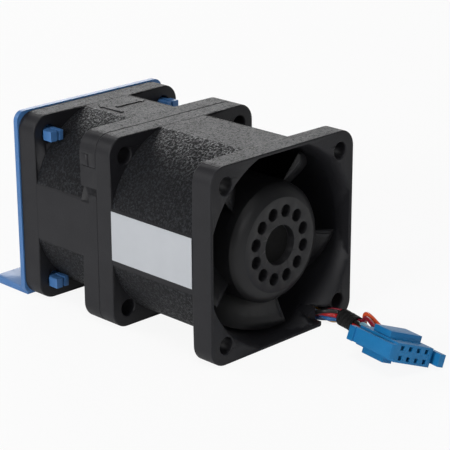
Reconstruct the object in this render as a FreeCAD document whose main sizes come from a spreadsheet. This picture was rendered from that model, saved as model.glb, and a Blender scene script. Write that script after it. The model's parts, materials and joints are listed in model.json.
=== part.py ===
# Counter-rotating fan module, 40 mm square and 56 mm long: two moulded
# housings latched together at a middle seam, each with its own brushless
# motor and impeller, a snap-on guard plate at the rear end and a short
# harness with an eight-way plug at the front end.
#
# Model frame: the origin is on the fan axis in the front face, X to the right
# as seen from the front, Y rearward along the airflow, Z up, in millimetres.
# Each stage is drawn in its own frame, as seen from its own open end: x to the
# right, y up and z out of the seam towards the viewer.
import FreeCAD, Part
import math
import os
import Sketcher

SIZES = [
    # housings
    ("frame_side", 40.0, "width and height of every flange"),
    ("flange_corner", 3.7, "corner radius of the flanges"),
    ("hole_share", 0.8, "corner holes' spacing, as a share of the frame's side"),
    ("hole_size", 0.0875, "corner holes' diameter, as a share of the frame's side"),
    ("duct_bulge", 0.8, "how far the round duct would pass the frame side"),
    ("duct_wall", 0.8, "duct wall left at the four flats"),
    ("front_length", 32.25, "front housing, seam to front face"),
    ("rear_length", 24.0, "rear housing, seam to rear face"),
    ("end_flange", 5.0, "thickness of the front and rear flanges"),
    ("front_seam_flange", 4.2, "front housing's flange at the seam"),
    ("rear_seam_flange", 4.75, "rear housing's flange at the seam"),
    ("mouth_widening", 1.5, "how far the bell mouth opens past the bore"),
    ("mouth_depth", 4.5, "axial depth of the bell mouth"),
    ("mouth_side_wall", 0.6, "wall left beside the mouth at the flats"),
    ("strut_count", 4, "struts that carry each motor base"),
    ("strut_thick", 1.4, "thickness of a plain strut"),
    ("lead_strut_width", 4.6, "width of the strut that carries the leads"),
    ("lead_angle", -57.0, "direction of that strut, from +X towards +Z"),
    ("lead_window", 1.7, "axial height of the lead hole in the duct wall"),
    ("lead_notch_width", 5.6, "width of the lead notch in the flanges"),
    ("lead_notch_height", 3.7, "height of the lead notch"),
    ("lead_notch_corner", 1.2, "round corner of the lead notch"),
    ("notch_lip_width", 2.2, "lip under the inner side of the front notch"),
    ("notch_lip_height", 1.0, "height of that lip"),
    # seam latches
    ("latch_low", 8.8, "lower side of the latch tongue"),
    ("latch_high", 13.3, "upper side of the latch tongue"),
    ("latch_depth", 1.5, "thickness of the latch tongue"),
    ("latch_gap", 0.12, "clearance around the latch tongue"),
    ("latch_window", 1.3, "height of the release window under the tongue"),
    ("latch_step", 5.5, "lower side of the thumb step under the tongue"),
    ("latch_slit", 2.5, "height of the flexing slit above the tongue"),
    ("latch_slit_width", 0.25, "width of the flexing slit"),
    # motor base and bearings
    ("base_dia", 24.8, "motor base diameter"),
    ("base_height", 4.2, "motor base thickness"),
    ("boss_dia", 13.2, "boss under the circuit board"),
    ("boss_height", 1.2, "height of that boss"),
    ("tube_seat", 1.4, "plastic left under the bearing tube"),
    ("tube_outer", 9.6, "bearing tube outer diameter"),
    ("tube_stop", 6.9, "bore between the two bearings"),
    ("tube_rim", 0.3, "tube length past the outer bearing"),
    ("shaft_dia", 3.0, "shaft diameter"),
    ("bearing_outer", 8.0, "bearing outer diameter"),
    ("bearing_width", 4.0, "bearing width"),
    ("bearing_low", 3.2, "inner bearing's near face above the seam"),
    ("race_outer", 6.4, "outer ring's bore"),
    ("race_inner", 4.6, "inner ring's outer diameter"),
    ("shield_thick", 0.25, "bearing shield thickness"),
    ("shield_gap", 0.12, "gap between a shield and the inner ring"),
    ("clip_dia", 5.0, "retaining clip outer diameter"),
    ("clip_thick", 0.4, "retaining clip thickness"),
    ("clip_gap", 0.08, "gap between the clip and the bearing"),
    ("clip_groove", 2.4, "shaft diameter in the clip's groove"),
    ("shaft_end", 1.8, "shaft end above the seam"),
    # stator and board
    ("board_dia", 22.8, "circuit board diameter"),
    ("board_thick", 1.0, "circuit board thickness"),
    ("board_hole", 9.9, "hole round the bearing tube"),
    ("core_low", 10.2, "stator core's near face above the seam"),
    ("front_bearing_high", 17.2, "outer bearing's near face, front motor"),
    ("rear_bearing_high", 11.2, "outer bearing's near face, rear motor"),
    ("front_core_height", 10.0, "front lamination stack"),
    ("rear_core_height", 5.2, "rear lamination stack"),
    ("core_dia", 17.4, "stator core outer diameter"),
    ("core_back", 12.0, "diameter of the ring behind the teeth"),
    ("tooth_width", 2.6, "stator tooth width"),
    ("shoe_inner", 15.6, "inner diameter of the pole shoes"),
    ("shoe_half_width", 4.6, "half width of a pole shoe"),
    ("tooth_count", 4, "stator teeth"),
    ("liner_thick", 0.35, "insulator thickness beside a tooth"),
    ("liner_cap", 0.7, "insulator thickness on the core's ends"),
    ("coil_build", 1.0, "winding thickness round a tooth"),
    ("coil_play", 0.05, "gap between a winding and its insulator"),
    # rotor
    ("hub_dia", 24.8, "impeller hub diameter"),
    ("hub_wall", 1.1, "hub wall"),
    ("hub_shoulder_width", 2.75, "how far the flat face stays inside the hub"),
    ("hub_shoulder", 3.6, "height of the rounded shoulder"),
    ("hub_mouth", 8.2, "hub's open end above the seam"),
    ("cap_thick", 2.8, "thickness of the hub's face"),
    ("front_cap_height", 31.05, "front hub face above the seam"),
    ("rear_cap_height", 22.6, "rear hub face above the seam"),
    ("recess_dia", 8.2, "recess in the hub's face"),
    ("recess_depth", 1.6, "its depth"),
    ("balance_hole", 2.6, "balancing hole diameter"),
    ("balance_circle", 13.8, "diameter of the circle of balancing holes"),
    ("balance_depth", 1.8, "depth of the balancing holes"),
    ("balance_count", 12, "balancing holes"),
    ("balance_turn", -6.5, "first hole from the first blade"),
    ("yoke_thick", 0.8, "steel cup thickness"),
    ("magnet_thick", 1.4, "magnet ring thickness"),
    ("magnet_inset", 0.6, "magnet's near face inside the hub"),
    ("magnet_cover", 1.4, "gap between the magnet and the cup's floor"),
    ("bush_dia", 6.0, "brass bush on the shaft"),
    ("shaft_in_cap", 1.0, "shaft length inside the hub's face"),
    ("spring_thick", 0.25, "preload disc spring, sheet thickness"),
    ("spring_dia", 5.6, "preload disc spring, outer diameter"),
    ("spring_height", 1.0, "preload disc spring, height"),
    # blades
    ("tip_gap", 0.4, "blade tip to bore"),
    ("tip_corner", 1.5, "rounding of the leading tip corner"),
    ("blade_root_depth", 2.9, "root section inside the hub's surface"),
    ("blade_overrun", 1.4, "tip section past the blade tip"),
    ("blade_edge", 0.55, "blade thickness at its edges"),
    ("front_blade_count", 5, "front blades"),
    ("front_turn", 23.0, "turn of the front impeller at rest"),
    ("front_lead_root", 27.0, "front leading edge at the root plane"),
    ("front_lead_tip", 29.0, "front leading edge at the tip plane"),
    ("front_trail_root", 10.6, "front trailing edge at the root plane"),
    ("front_trail_tip", 10.6, "front trailing edge at the tip plane"),
    ("front_sweep", 25.0, "half the angle that a front blade covers"),
    ("rear_blade_count", 4, "rear blades"),
    ("rear_turn", 12.0, "turn of the rear impeller at rest"),
    ("rear_lead_root", 9.2, "rear leading edge at the root plane"),
    ("rear_lead_tip", 8.4, "rear leading edge at the tip plane"),
    ("rear_trail_root", 18.6, "rear trailing edge at the root plane"),
    ("rear_trail_tip", 19.4, "rear trailing edge at the tip plane"),
    ("rear_sweep", 23.0, "half the angle that a rear blade covers"),
    ("back_root_radius", 17.0, "blade's convex side at the root"),
    ("belly_root_radius", 22.0, "blade's concave side at the root"),
    ("back_tip_radius", 30.0, "blade's convex side at the tip"),
    ("belly_tip_radius", 38.0, "blade's concave side at the tip"),
    # guard plate
    ("guard_overhang", 0.25, "guard plate past the flange on three sides"),
    ("guard_thick", 1.2, "guard plate thickness"),
    ("guard_corner", 2.2, "guard plate corner radius"),
    ("guard_lip", 0.2, "guard plate inside the duct bore"),
    ("guard_hub", 7.0, "disc in the middle of the guard"),
    ("guard_ring_width", 1.1, "width of a guard ring"),
    ("guard_ring_step", 5.3, "radial spacing of the rings"),
    ("guard_rings", 2, "guard rings"),
    ("guard_spoke", 1.5, "width of a guard spoke"),
    ("guard_spokes", 4, "guard spokes"),
    ("pin_width", 0.75, "snap pin's width, as a share of the hole's diameter"),
    ("pin_height", 0.6, "snap pin's height, as a share of the hole's diameter"),
    ("pin_reach", 2.9, "pin length past the flange"),
    ("pin_barb", 0.55, "how far the barb passes the pin on its outer side"),
    ("pin_gap", 0.4, "gap between a barb and the flange"),
    ("pin_slot", 0.6, "slot that splits the pin"),
    ("tab_length", 10.0, "grip tab length behind the plate"),
    ("tab_width", 39.0, "grip tab width"),
    ("tab_thick", 1.4, "grip tab thickness"),
    ("tab_corner", 1.5, "grip tab corner radius"),
    # label
    ("label_height", 10.2, "label height"),
    ("label_raise", 0.4, "label centre above the axis"),
    ("label_margin", 0.15, "gap between the label and each flange"),
    ("label_thick", 0.1, "label thickness"),
    # harness and plug
    ("wire_dia", 0.85, "insulated wire diameter"),
    ("lead_dia", 1.25, "bundle of one motor's four wires"),
    ("lead_gap", 0.15, "gap between the duct and the first bundle"),
    ("lead_step", 0.1, "gap between the two bundles"),
    ("wire_bend", 1.25, "bend radius where a wire turns forward"),
    ("wire_gap", 0.01, "gap between the wires side by side"),
    ("wire_out", 0.6, "where the wires turn, ahead of the front face"),
    ("sleeve_dia", 3.7, "harness sleeve diameter"),
    ("sleeve_start_x", 14.2, "sleeve's end at the fan, sideways"),
    ("sleeve_start_y", -3.75, "sleeve's end at the fan, ahead of the face"),
    ("sleeve_mid_x", 13.6, "middle of the sleeve"),
    ("sleeve_mid_y", -6.6, "middle of the sleeve"),
    ("sleeve_end_x", 12.5, "sleeve's end at the plug"),
    ("sleeve_end_y", -9.5, "sleeve's end at the plug"),
    ("wire_straight", 1.4, "straight wire next to the sleeve and the plug"),
    ("plug_x", 5.2, "plug's mating face, sideways"),
    ("plug_y", -28.5, "plug's mating face, ahead of the front face"),
    ("plug_z", -15.9, "plug's mating face, height"),
    ("plug_pitch", 2.0, "spacing of the contacts"),
    ("plug_columns", 4, "contacts in a row"),
    ("plug_width", 8.8, "plug body width"),
    ("plug_height", 3.8, "plug body height"),
    ("plug_length", 12.0, "plug body length"),
    ("plug_socket", 0.9, "contact opening"),
    ("plug_cavity", 1.3, "wire opening at the plug's back"),
    ("plug_cavity_depth", 4.0, "depth of the wire openings"),
    ("plug_ridge", 1.2, "ridge height on the plug"),
    ("plug_arm", 0.9, "thickness of the left arm"),
    ("plug_arm_gap", 0.35, "gap behind the left arm"),
    ("plug_latch", 1.4, "thickness of the right arm"),
    ("plug_latch_gap", 1.0, "gap behind the right arm"),
    ("plug_latch_height", 2.5, "height of the right arm"),
    ("plug_window", 1.0, "side of the windows over the contacts"),
    ("plug_rib", 1.0, "rib height under the plug"),
    ("terminal_side", 0.86, "contact width"),
    ("terminal_tail", 0.3, "contact's tail inside the plug's back"),
    ("terminal_hole", 0.5, "contact's pin opening"),
    ("plug_yaw", -14.0, "plug turned about Z"),
    ("plug_pitch_up", 3.0, "plug nose raised"),
    ("plug_roll", -20.0, "plug rolled about its length"),
]

doc = FreeCAD.newDocument("FanModule")
sheet = doc.addObject("Spreadsheet::Sheet", "Dims")
for row, (alias, number, note) in enumerate(SIZES, start=1):
    sheet.set("A%d" % row, alias)
    sheet.set("B%d" % row, str(number))
    sheet.set("C%d" % row, note)
    sheet.setAlias("B%d" % row, alias)
doc.recompute()


class Size:
    """A number that keeps its spreadsheet expression beside its value."""

    def __init__(self, text, value):
        self.text = text
        self.value = float(value)

    def __float__(self):
        return self.value

    def __add__(self, other):
        other = sized(other)
        return Size("(%s + %s)" % (self.text, other.text), self.value + other.value)

    def __sub__(self, other):
        other = sized(other)
        return Size("(%s - %s)" % (self.text, other.text), self.value - other.value)

    def __mul__(self, other):
        other = sized(other)
        return Size("(%s * %s)" % (self.text, other.text), self.value * other.value)

    def __truediv__(self, other):
        other = sized(other)
        return Size("(%s / %s)" % (self.text, other.text), self.value / other.value)

    def __neg__(self):
        return Size("(-1 * %s)" % self.text, -self.value)

    def __radd__(self, other):
        return sized(other) + self

    def __rsub__(self, other):
        return sized(other) - self

    def __rmul__(self, other):
        return sized(other) * self


def sized(number):
    """The number itself if it already is a Size, or a plain constant as one."""
    if isinstance(number, Size):
        return number
    return Size(repr(float(number)), number)


def root(size):
    return Size("sqrt(%s)" % size.text, math.sqrt(size.value))


def tangent(angle):
    return Size("tan(%s)" % angle.text, math.tan(math.radians(angle.value)))


def cosine(angle):
    return Size("cos(%s)" % angle.text, math.cos(math.radians(angle.value)))


def sine(angle):
    return Size("sin(%s)" % angle.text, math.sin(math.radians(angle.value)))


class Dims:
    """Every size of the sheet by its alias."""


for alias, number, note in SIZES:
    setattr(Dims, alias, Size("Dims." + alias, number))

V = FreeCAD.Vector
Z_UP = V(0, 0, 1)
ZERO = sized(0)
parts = []


def bind(obj, prop, size):
    """Sets a property from a size, and ties it to the sheet where it can be."""
    size = sized(size)
    if "Dims." in size.text:
        obj.setExpression(prop, size.text)
    elif "." not in prop:
        setattr(obj, prop, size.value)


# ---------------------------------------------------------------- sketches
def new_body(label):
    body = doc.addObject("PartDesign::Body", label)
    body.Label = label
    body.AllowCompound = True
    parts.append(body)
    return body


def origin_feature(body, role):
    return [f for f in body.Origin.OriginFeatures if f.Role == role][0]


def sketch_on(body, name, plane="XY_Plane", at=0, turn=0):
    """An empty sketch on an origin plane, moved along its normal and turned."""
    at, turn = sized(at), sized(turn)
    sketch = body.newObject("Sketcher::SketchObject", name)
    sketch.AttachmentSupport = [(origin_feature(body, plane), "")]
    sketch.MapMode = "FlatFace"
    turned = FreeCAD.Rotation(Z_UP, turn.value)
    sketch.AttachmentOffset = FreeCAD.Placement(V(0, 0, at.value), turned)
    bind(sketch, "AttachmentOffset.Base.z", at)
    bind(sketch, "AttachmentOffset.Rotation.Angle", turn)
    return sketch


def constrain(sketch, kind, first, size):
    """Adds one measured constraint and ties it to the sheet."""
    size = sized(size)
    index = sketch.addConstraint(Sketcher.Constraint(kind, *first, size.value))
    if "Dims." in size.text:
        sketch.setExpression("Constraints[%d]" % index, size.text)


def place_point(sketch, geometry, point, x, y):
    """Holds one point of the sketch at x, y from the sketch's origin."""
    for kind, size, axis in (("DistanceX", x, -2), ("DistanceY", y, -1)):
        size = sized(size)
        if size.text == "0.0":
            onto = Sketcher.Constraint("PointOnObject", geometry, point, axis)
            sketch.addConstraint(onto)
        else:
            constrain(sketch, kind, (-1, 1, geometry, point), size)


def circle(sketch, x, y, diameter):
    x, y, diameter = sized(x), sized(y), sized(diameter)
    round_edge = Part.Circle(V(x.value, y.value, 0), Z_UP, diameter.value / 2)
    geometry = sketch.addGeometry(round_edge, False)
    place_point(sketch, geometry, 3, x, y)
    constrain(sketch, "Diameter", (geometry,), diameter)


def contour(sketch, corners):
    """A closed outline. Each corner is (x, y) or (x, y, radius, side): the last
    two make the edge to the next corner an arc, side 1 with its centre on the
    left of the way along, side -1 on the right."""
    corners = [tuple(sized(c) for c in corner[:3]) + tuple(corner[3:]) for corner in corners]
    count = len(corners)
    ends = []
    for i, corner in enumerate(corners):
        after = corners[(i + 1) % count]
        start = V(corner[0].value, corner[1].value, 0)
        stop = V(after[0].value, after[1].value, 0)
        if len(corner) == 2:
            geometry = sketch.addGeometry(Part.LineSegment(start, stop), False)
            ends.append((geometry, 1, 2))
            continue
        radius, side = corner[2], corner[3]
        chord = stop - start
        left = V(-chord.y, chord.x, 0).normalize()
        rise = math.sqrt(radius.value**2 - chord.Length**2 / 4)
        centre = (start + stop) * 0.5 + left * (rise * side)
        first, last = (start, stop) if side > 0 else (stop, start)
        angles = [math.atan2(p.y - centre.y, p.x - centre.x) for p in (first, last)]
        whole = Part.Circle(centre, Z_UP, radius.value)
        geometry = sketch.addGeometry(Part.ArcOfCircle(whole, *angles), False)
        constrain(sketch, "Radius", (geometry,), radius)
        ends.append((geometry, 1, 2) if side > 0 else (geometry, 2, 1))
    for i in range(count):
        here, after = ends[i], ends[(i + 1) % count]
        meet = Sketcher.Constraint("Coincident", here[0], here[2], after[0], after[1])
        sketch.addConstraint(meet)
        place_point(sketch, here[0], here[1], corners[i][0], corners[i][1])


def rectangle(sketch, left, low, right, high):
    contour(sketch, [(left, low), (right, low), (right, high), (left, high)])


def rounded(sketch, left, low, right, high, radius):
    """A rectangle with round corners."""
    r = sized(radius)
    contour(
        sketch,
        [
            (left + r, low),
            (right - r, low, r, 1),
            (right, low + r),
            (right, high - r, r, 1),
            (right - r, high),
            (left + r, high, r, 1),
            (left, high - r),
            (left, low + r, r, 1),
        ],
    )


def flat_sided_circle(sketch, diameter, side):
    """A circle whose four sides are cut flat by a square."""
    h = side / 2
    c = root(diameter * diameter / 4 - h * h)
    r = diameter / 2
    contour(
        sketch,
        [
            (-c, -h), (c, -h, r, 1),
            (h, -c), (h, c, r, 1),
            (c, h), (-c, h, r, 1),
            (-h, c), (-h, -c, r, 1),
        ],
    )


# ---------------------------------------------------------------- features
def feature(body, kind, name, sketch):
    made = body.newObject("PartDesign::" + kind, name)
    made.Profile = sketch
    sketch.Visibility = False
    body.Tip = made
    return made


def changed(body, volume, grows):
    """Stops the build where a feature did not change the solid as it should."""
    doc.recompute()
    now = body.Shape.Volume
    if (now > volume) != grows or abs(now - volume) < 1e-6:
        raise ValueError("%s: %s changed nothing" % (body.Label, body.Tip.Name))


def volume_of(body):
    doc.recompute()
    return body.Shape.Volume if body.Tip else 0.0


def pad(body, name, sketch, length, back=False):
    volume = volume_of(body)
    made = feature(body, "Pad", name, sketch)
    bind(made, "Length", length)
    made.Reversed = back
    changed(body, volume, True)
    return made


def pocket(body, name, sketch, depth=None, back=False):
    volume = volume_of(body)
    made = feature(body, "Pocket", name, sketch)
    if depth is None:
        made.Type = "ThroughAll"
    else:
        bind(made, "Length", depth)
    made.Reversed = back
    changed(body, volume, False)
    return made


def turned(body, name, sketch, cut=False, axis="Z_Axis"):
    """A revolution, or a groove, all the way round an axis of the body."""
    volume = volume_of(body)
    made = feature(body, "Groove" if cut else "Revolution", name, sketch)
    made.ReferenceAxis = (origin_feature(body, axis), [""])
    made.Angle = 360
    changed(body, volume, not cut)
    return made


def ring_of(body, name, original, count, grows=True):
    """Repeats a feature round the z axis."""
    volume = volume_of(body)
    made = body.newObject("PartDesign::PolarPattern", name)
    made.Originals = [original]
    made.Axis = (origin_feature(body, "Z_Axis"), [""])
    made.Angle = 360
    bind(made, "Occurrences", count)
    body.Tip = made
    changed(body, volume, grows)
    return made


def profile_on(body, name, corners):
    """A half section in the xz plane, for a turned feature."""
    sketch = sketch_on(body, name, "XZ_Plane")
    contour(sketch, corners)
    return sketch


def washer(body, name, inner, outer, low, high):
    """Adds a turned ring, or a disc where inner is nothing."""
    inner, outer, low, high = (sized(s) for s in (inner, outer, low, high))
    a, b = inner / 2, outer / 2
    if inner.value == 0:
        a = ZERO
    section = profile_on(body, name + "_section", [(a, low), (b, low), (b, high), (a, high)])
    return turned(body, name, section)


# ---------------------------------------------------------------- stages
# seen from the front end, and seen from the rear end
FRONT_VIEW = FreeCAD.Rotation(V(1, 0, 0), V(0, 0, 1), V(0, -1, 0), "ZXY")
REAR_VIEW = FreeCAD.Rotation(V(-1, 0, 0), V(0, 0, 1), V(0, 1, 0), "ZXY")


class Stage:
    """One motor, impeller and housing, with its own lengths."""

    def __init__(self, name, view, hand):
        self.name = name
        self.view = view
        self.hand = hand

    def size(self, alias):
        return getattr(Dims, self.name + "_" + alias)

    def body(self, label):
        return new_body(self.name + "_" + label)

    def place(self, body, turn=None):
        """Puts a body into the model frame, turned about the fan axis."""
        spin = FreeCAD.Rotation(Z_UP, float(turn) if turn is not None else 0)
        body.Placement = FreeCAD.Placement(V(0, 0, 0), self.view.multiply(spin))
        bind(body, "Placement.Base.y", Dims.front_length)


front = Stage("front", FRONT_VIEW, 1)
rear = Stage("rear", REAR_VIEW, -1)

half = Dims.frame_side / 2
floor_z = -half
hole_place = half * Dims.hole_share
bolt_hole = Dims.frame_side * Dims.hole_size
duct_radius = half + Dims.duct_bulge
bore_radius = half - Dims.duct_wall
tip_radius = bore_radius - Dims.tip_gap
lead_radius = duct_radius + Dims.lead_gap + Dims.lead_dia / 2
notch_middle = cosine(Dims.lead_angle) * lead_radius


# ---------------------------------------------------------------- housings
def latch_box(body, name, low, high, length, start=0, depth=None, gap=0):
    """A pocket in both side faces of a flange, from the start outward."""
    depth = Dims.latch_depth if depth is None else depth
    for side in (-1, 1):
        sketch = sketch_on(body, "%s_%s" % (name, "left" if side < 0 else "right"), at=start)
        inner = half - depth - gap
        if side < 0:
            rectangle(sketch, -half, low, -inner, high)
        else:
            rectangle(sketch, inner, low, half, high)
        pocket(body, sketch.Name + "_cut", sketch, length, back=True)


def lead_notch(body, stage, name, at, length, lip=False):
    """The open notch in a flange's lower edge that the leads pass through. The
    front flange keeps a lip under the notch's inner side."""
    sketch = sketch_on(body, name, at=at)
    middle = notch_middle * stage.hand
    side = Dims.lead_notch_width / 2
    left, right = middle - side, middle + side
    low, high = floor_z, floor_z + Dims.lead_notch_height
    r = Dims.lead_notch_corner
    if stage is front:
        top = [(right, high - r, r, 1), (right - r, high), (left, high)]
    else:
        top = [(right, high), (left + r, high, r, 1), (left, high - r)]
    foot = [(left, low), (right, low)]
    if lip:
        step, edge = left + Dims.notch_lip_width, low + Dims.notch_lip_height
        foot = [(left, edge), (step, edge), (step, low), (right, low)]
    contour(sketch, foot + top)
    pocket(body, name + "_cut", sketch, length, back=True)


def housing(stage):
    """Duct, two flanges, bell mouth, struts and motor base in one moulding."""
    body = stage.body("housing")
    length = stage.size("length")
    seam_flange = stage.size("seam_flange")
    corner = Dims.flange_corner

    sketch = sketch_on(body, "duct_outline")
    flat_sided_circle(sketch, 2 * duct_radius, Dims.frame_side)
    pad(body, "duct", sketch, length)
    for name, at, thick in (
        ("seam_flange", 0, seam_flange),
        ("end_flange", length - Dims.end_flange, Dims.end_flange),
    ):
        sketch = sketch_on(body, name + "_outline", at=at)
        rounded(sketch, -half, -half, half, half, corner)
        pad(body, name, sketch, thick)

    sketch = sketch_on(body, "bore_circle")
    circle(sketch, 0, 0, 2 * bore_radius)
    pocket(body, "bore", sketch, back=True)

    widening, depth = Dims.mouth_widening, Dims.mouth_depth
    inner = bore_radius - widening
    section = profile_on(
        body,
        "mouth_section",
        [
            (inner, length - depth),
            (bore_radius, length - depth),
            (bore_radius + widening * 0.36, length - depth * 0.4),
            (bore_radius + widening, length),
            (inner, length),
        ],
    )
    turned(body, "bell_mouth", section, cut=True)
    sketch = sketch_on(body, "mouth_side_outline", at=length - depth)
    side = half - Dims.mouth_side_wall
    rounded(sketch, -half, -half, half, half, corner)
    rounded(sketch, -side, -side, side, side, corner - Dims.mouth_side_wall)
    pad(body, "mouth_sides", sketch, depth)

    sketch = sketch_on(body, "base_circle")
    circle(sketch, 0, 0, Dims.base_dia)
    pad(body, "base", sketch, Dims.base_height)
    sketch = sketch_on(body, "boss_circle", at=Dims.base_height)
    circle(sketch, 0, 0, Dims.boss_dia)
    pad(body, "boss", sketch, Dims.boss_height)

    reach = (bore_radius + duct_radius) / 2
    start = Dims.base_dia / 2 - Dims.hub_wall
    turn = Dims.lead_angle if stage is front else -180 - Dims.lead_angle
    sketch = sketch_on(body, "strut_outline", turn=turn)
    thin = Dims.strut_thick / 2
    rectangle(sketch, start, -thin, reach, thin)
    strut = pad(body, "strut", sketch, Dims.base_height)
    ring_of(body, "struts", strut, Dims.strut_count)
    sketch = sketch_on(body, "lead_strut_outline", turn=turn)
    wide = Dims.lead_strut_width / 2
    rectangle(sketch, start, -wide, reach, wide)
    pad(body, "lead_strut", sketch, Dims.base_height)

    sketch = sketch_on(body, "tube_seat_circle", at=Dims.base_height + Dims.boss_height)
    circle(sketch, 0, 0, Dims.tube_outer)
    seat = Dims.base_height + Dims.boss_height - Dims.tube_seat
    pocket(body, "tube_seat_bore", sketch, seat)

    sketch = sketch_on(body, "lead_window_outline", at=Dims.base_height, turn=turn)
    rectangle(sketch, inner, -wide, half + corner, wide)
    pocket(body, "lead_window_cut", sketch, Dims.lead_window, back=True)

    for name, at, thick in (
        ("seam_holes", 0, seam_flange),
        ("end_holes", length - Dims.end_flange, Dims.end_flange),
    ):
        sketch = sketch_on(body, name + "_circles", at=at)
        for x in (-hole_place, hole_place):
            for y in (-hole_place, hole_place):
                circle(sketch, x, y, bolt_hole)
        pocket(body, name, sketch, thick, back=True)
    return body


def front_housing():
    """The longer housing, with the lead notches and the latch tongues."""
    body = housing(front)
    end = front.size("length") - Dims.end_flange
    lead_notch(body, front, "end_notch", end, Dims.end_flange, lip=True)
    lead_notch(body, front, "seam_notch", 0, Dims.front_seam_flange)
    depth = Dims.latch_depth
    gap = Dims.latch_gap
    reach = Dims.rear_seam_flange - gap
    for side, name in ((-1, "left"), (1, "right")):
        sketch = sketch_on(body, "tongue_%s_outline" % name)
        outer, inner = side * half, side * (half - depth)
        left, right = (outer, inner) if side < 0 else (inner, outer)
        rectangle(sketch, left, Dims.latch_low + gap, right, Dims.latch_high - gap)
        pad(body, "tongue_" + name, sketch, reach, back=True)
    front.place(body)


def rear_housing():
    """The shorter housing, with the windows that the tongues snap into."""
    body = housing(rear)
    thick = Dims.rear_seam_flange
    lead_notch(body, rear, "seam_notch", 0, thick)
    latch_box(body, "tongue_seat", Dims.latch_low, Dims.latch_high, thick, gap=Dims.latch_gap)
    window = Dims.latch_low - Dims.latch_window
    latch_box(body, "release", window, Dims.latch_low, thick / 2)
    step = Dims.latch_step
    latch_box(body, "thumb_step", step, Dims.latch_low, thick / 2, start=thick / 2)
    high, slit = Dims.latch_high + Dims.latch_slit, Dims.latch_slit_width
    shallow, middle = Dims.latch_depth / 2, thick * 0.44
    latch_box(body, "flexing", Dims.latch_high, high, slit, start=middle, depth=shallow)
    latch_box(body, "flexing_end", high - slit, high, thick * 0.3, start=middle, depth=shallow)
    rear.place(body)


# ---------------------------------------------------------------- impellers
def blade_section(body, stage, name, plane, lead, trail, back, belly):
    """One blade section: two arcs from the leading to the trailing edge, in a
    plane across the blade's radial line."""
    sketch = sketch_on(body, name, "XZ_Plane", at=-plane)
    across = plane * tangent(stage.size("sweep"))
    thin = Dims.blade_edge / 2
    contour(
        sketch,
        [
            (thin - across, lead, back, -stage.hand),
            (across + thin, trail),
            (across - thin, trail, belly, stage.hand),
            (-across - thin, lead),
        ],
    )
    return sketch


def impeller(stage):
    """Hub with its rounded cap and balancing holes, and the blades."""
    body = stage.body("impeller")
    top = stage.size("cap_height")
    low = Dims.hub_mouth
    outer = Dims.hub_dia / 2
    shoulder, inward = Dims.hub_shoulder, Dims.hub_shoulder_width
    section = profile_on(
        body,
        "hub_section",
        [
            (0, low),
            (outer, low),
            (outer, top - shoulder),
            (outer - inward * 0.10, top - shoulder * 0.55),
            (outer - inward * 0.42, top - shoulder * 0.24),
            (outer - inward, top),
            (0, top),
        ],
    )
    turned(body, "hub", section)

    root_section = blade_section(
        body, stage, "blade_root", outer - Dims.blade_root_depth,
        stage.size("lead_root"), stage.size("trail_root"),
        Dims.back_root_radius, Dims.belly_root_radius,
    )
    tip_section = blade_section(
        body, stage, "blade_tip", tip_radius + Dims.blade_overrun,
        stage.size("lead_tip"), stage.size("trail_tip"),
        Dims.back_tip_radius, Dims.belly_tip_radius,
    )
    volume = volume_of(body)
    blade = feature(body, "AdditiveLoft", "blade", root_section)
    blade.Sections = [tip_section]
    blade.Ruled = True
    changed(body, volume, True)
    ring_of(body, "blades", blade, stage.size("blade_count"))

    tip, corner = tip_radius, Dims.tip_corner
    lead, trail = stage.size("lead_tip"), stage.size("trail_tip")
    beyond = duct_radius * 1.2
    lead_edge = lead - stage.hand * Dims.blade_edge
    clear_lead = lead + stage.hand * corner
    clear_trail = trail - stage.hand * corner
    section = profile_on(
        body,
        "tip_section",
        [
            (tip, clear_trail),
            (tip, lead_edge - stage.hand * corner, corner, stage.hand),
            (tip - corner, lead_edge),
            (tip - corner, clear_lead),
            (beyond + corner, clear_lead),
            (beyond + corner, clear_trail),
        ],
    )
    turned(body, "tip_trim", section, cut=True)

    cavity_top = top - Dims.cap_thick
    sketch = sketch_on(body, "cavity_circle", at=cavity_top)
    circle(sketch, 0, 0, Dims.hub_dia - 2 * Dims.hub_wall)
    pocket(body, "cavity", sketch)
    sketch = sketch_on(body, "shaft_circle", at=cavity_top)
    circle(sketch, 0, 0, Dims.shaft_dia)
    pocket(body, "shaft_bore", sketch, Dims.shaft_in_cap, back=True)
    sketch = sketch_on(body, "recess_circle", at=top)
    circle(sketch, 0, 0, Dims.recess_dia)
    pocket(body, "recess", sketch, Dims.recess_depth)
    sketch = sketch_on(body, "balance_circle", at=top, turn=Dims.balance_turn)
    circle(sketch, 0, Dims.balance_circle / 2, Dims.balance_hole)
    hole = pocket(body, "balance_hole", sketch, Dims.balance_depth)
    ring_of(body, "balance_holes", hole, Dims.balance_count, grows=False)
    stage.place(body, stage.size("turn"))


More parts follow.
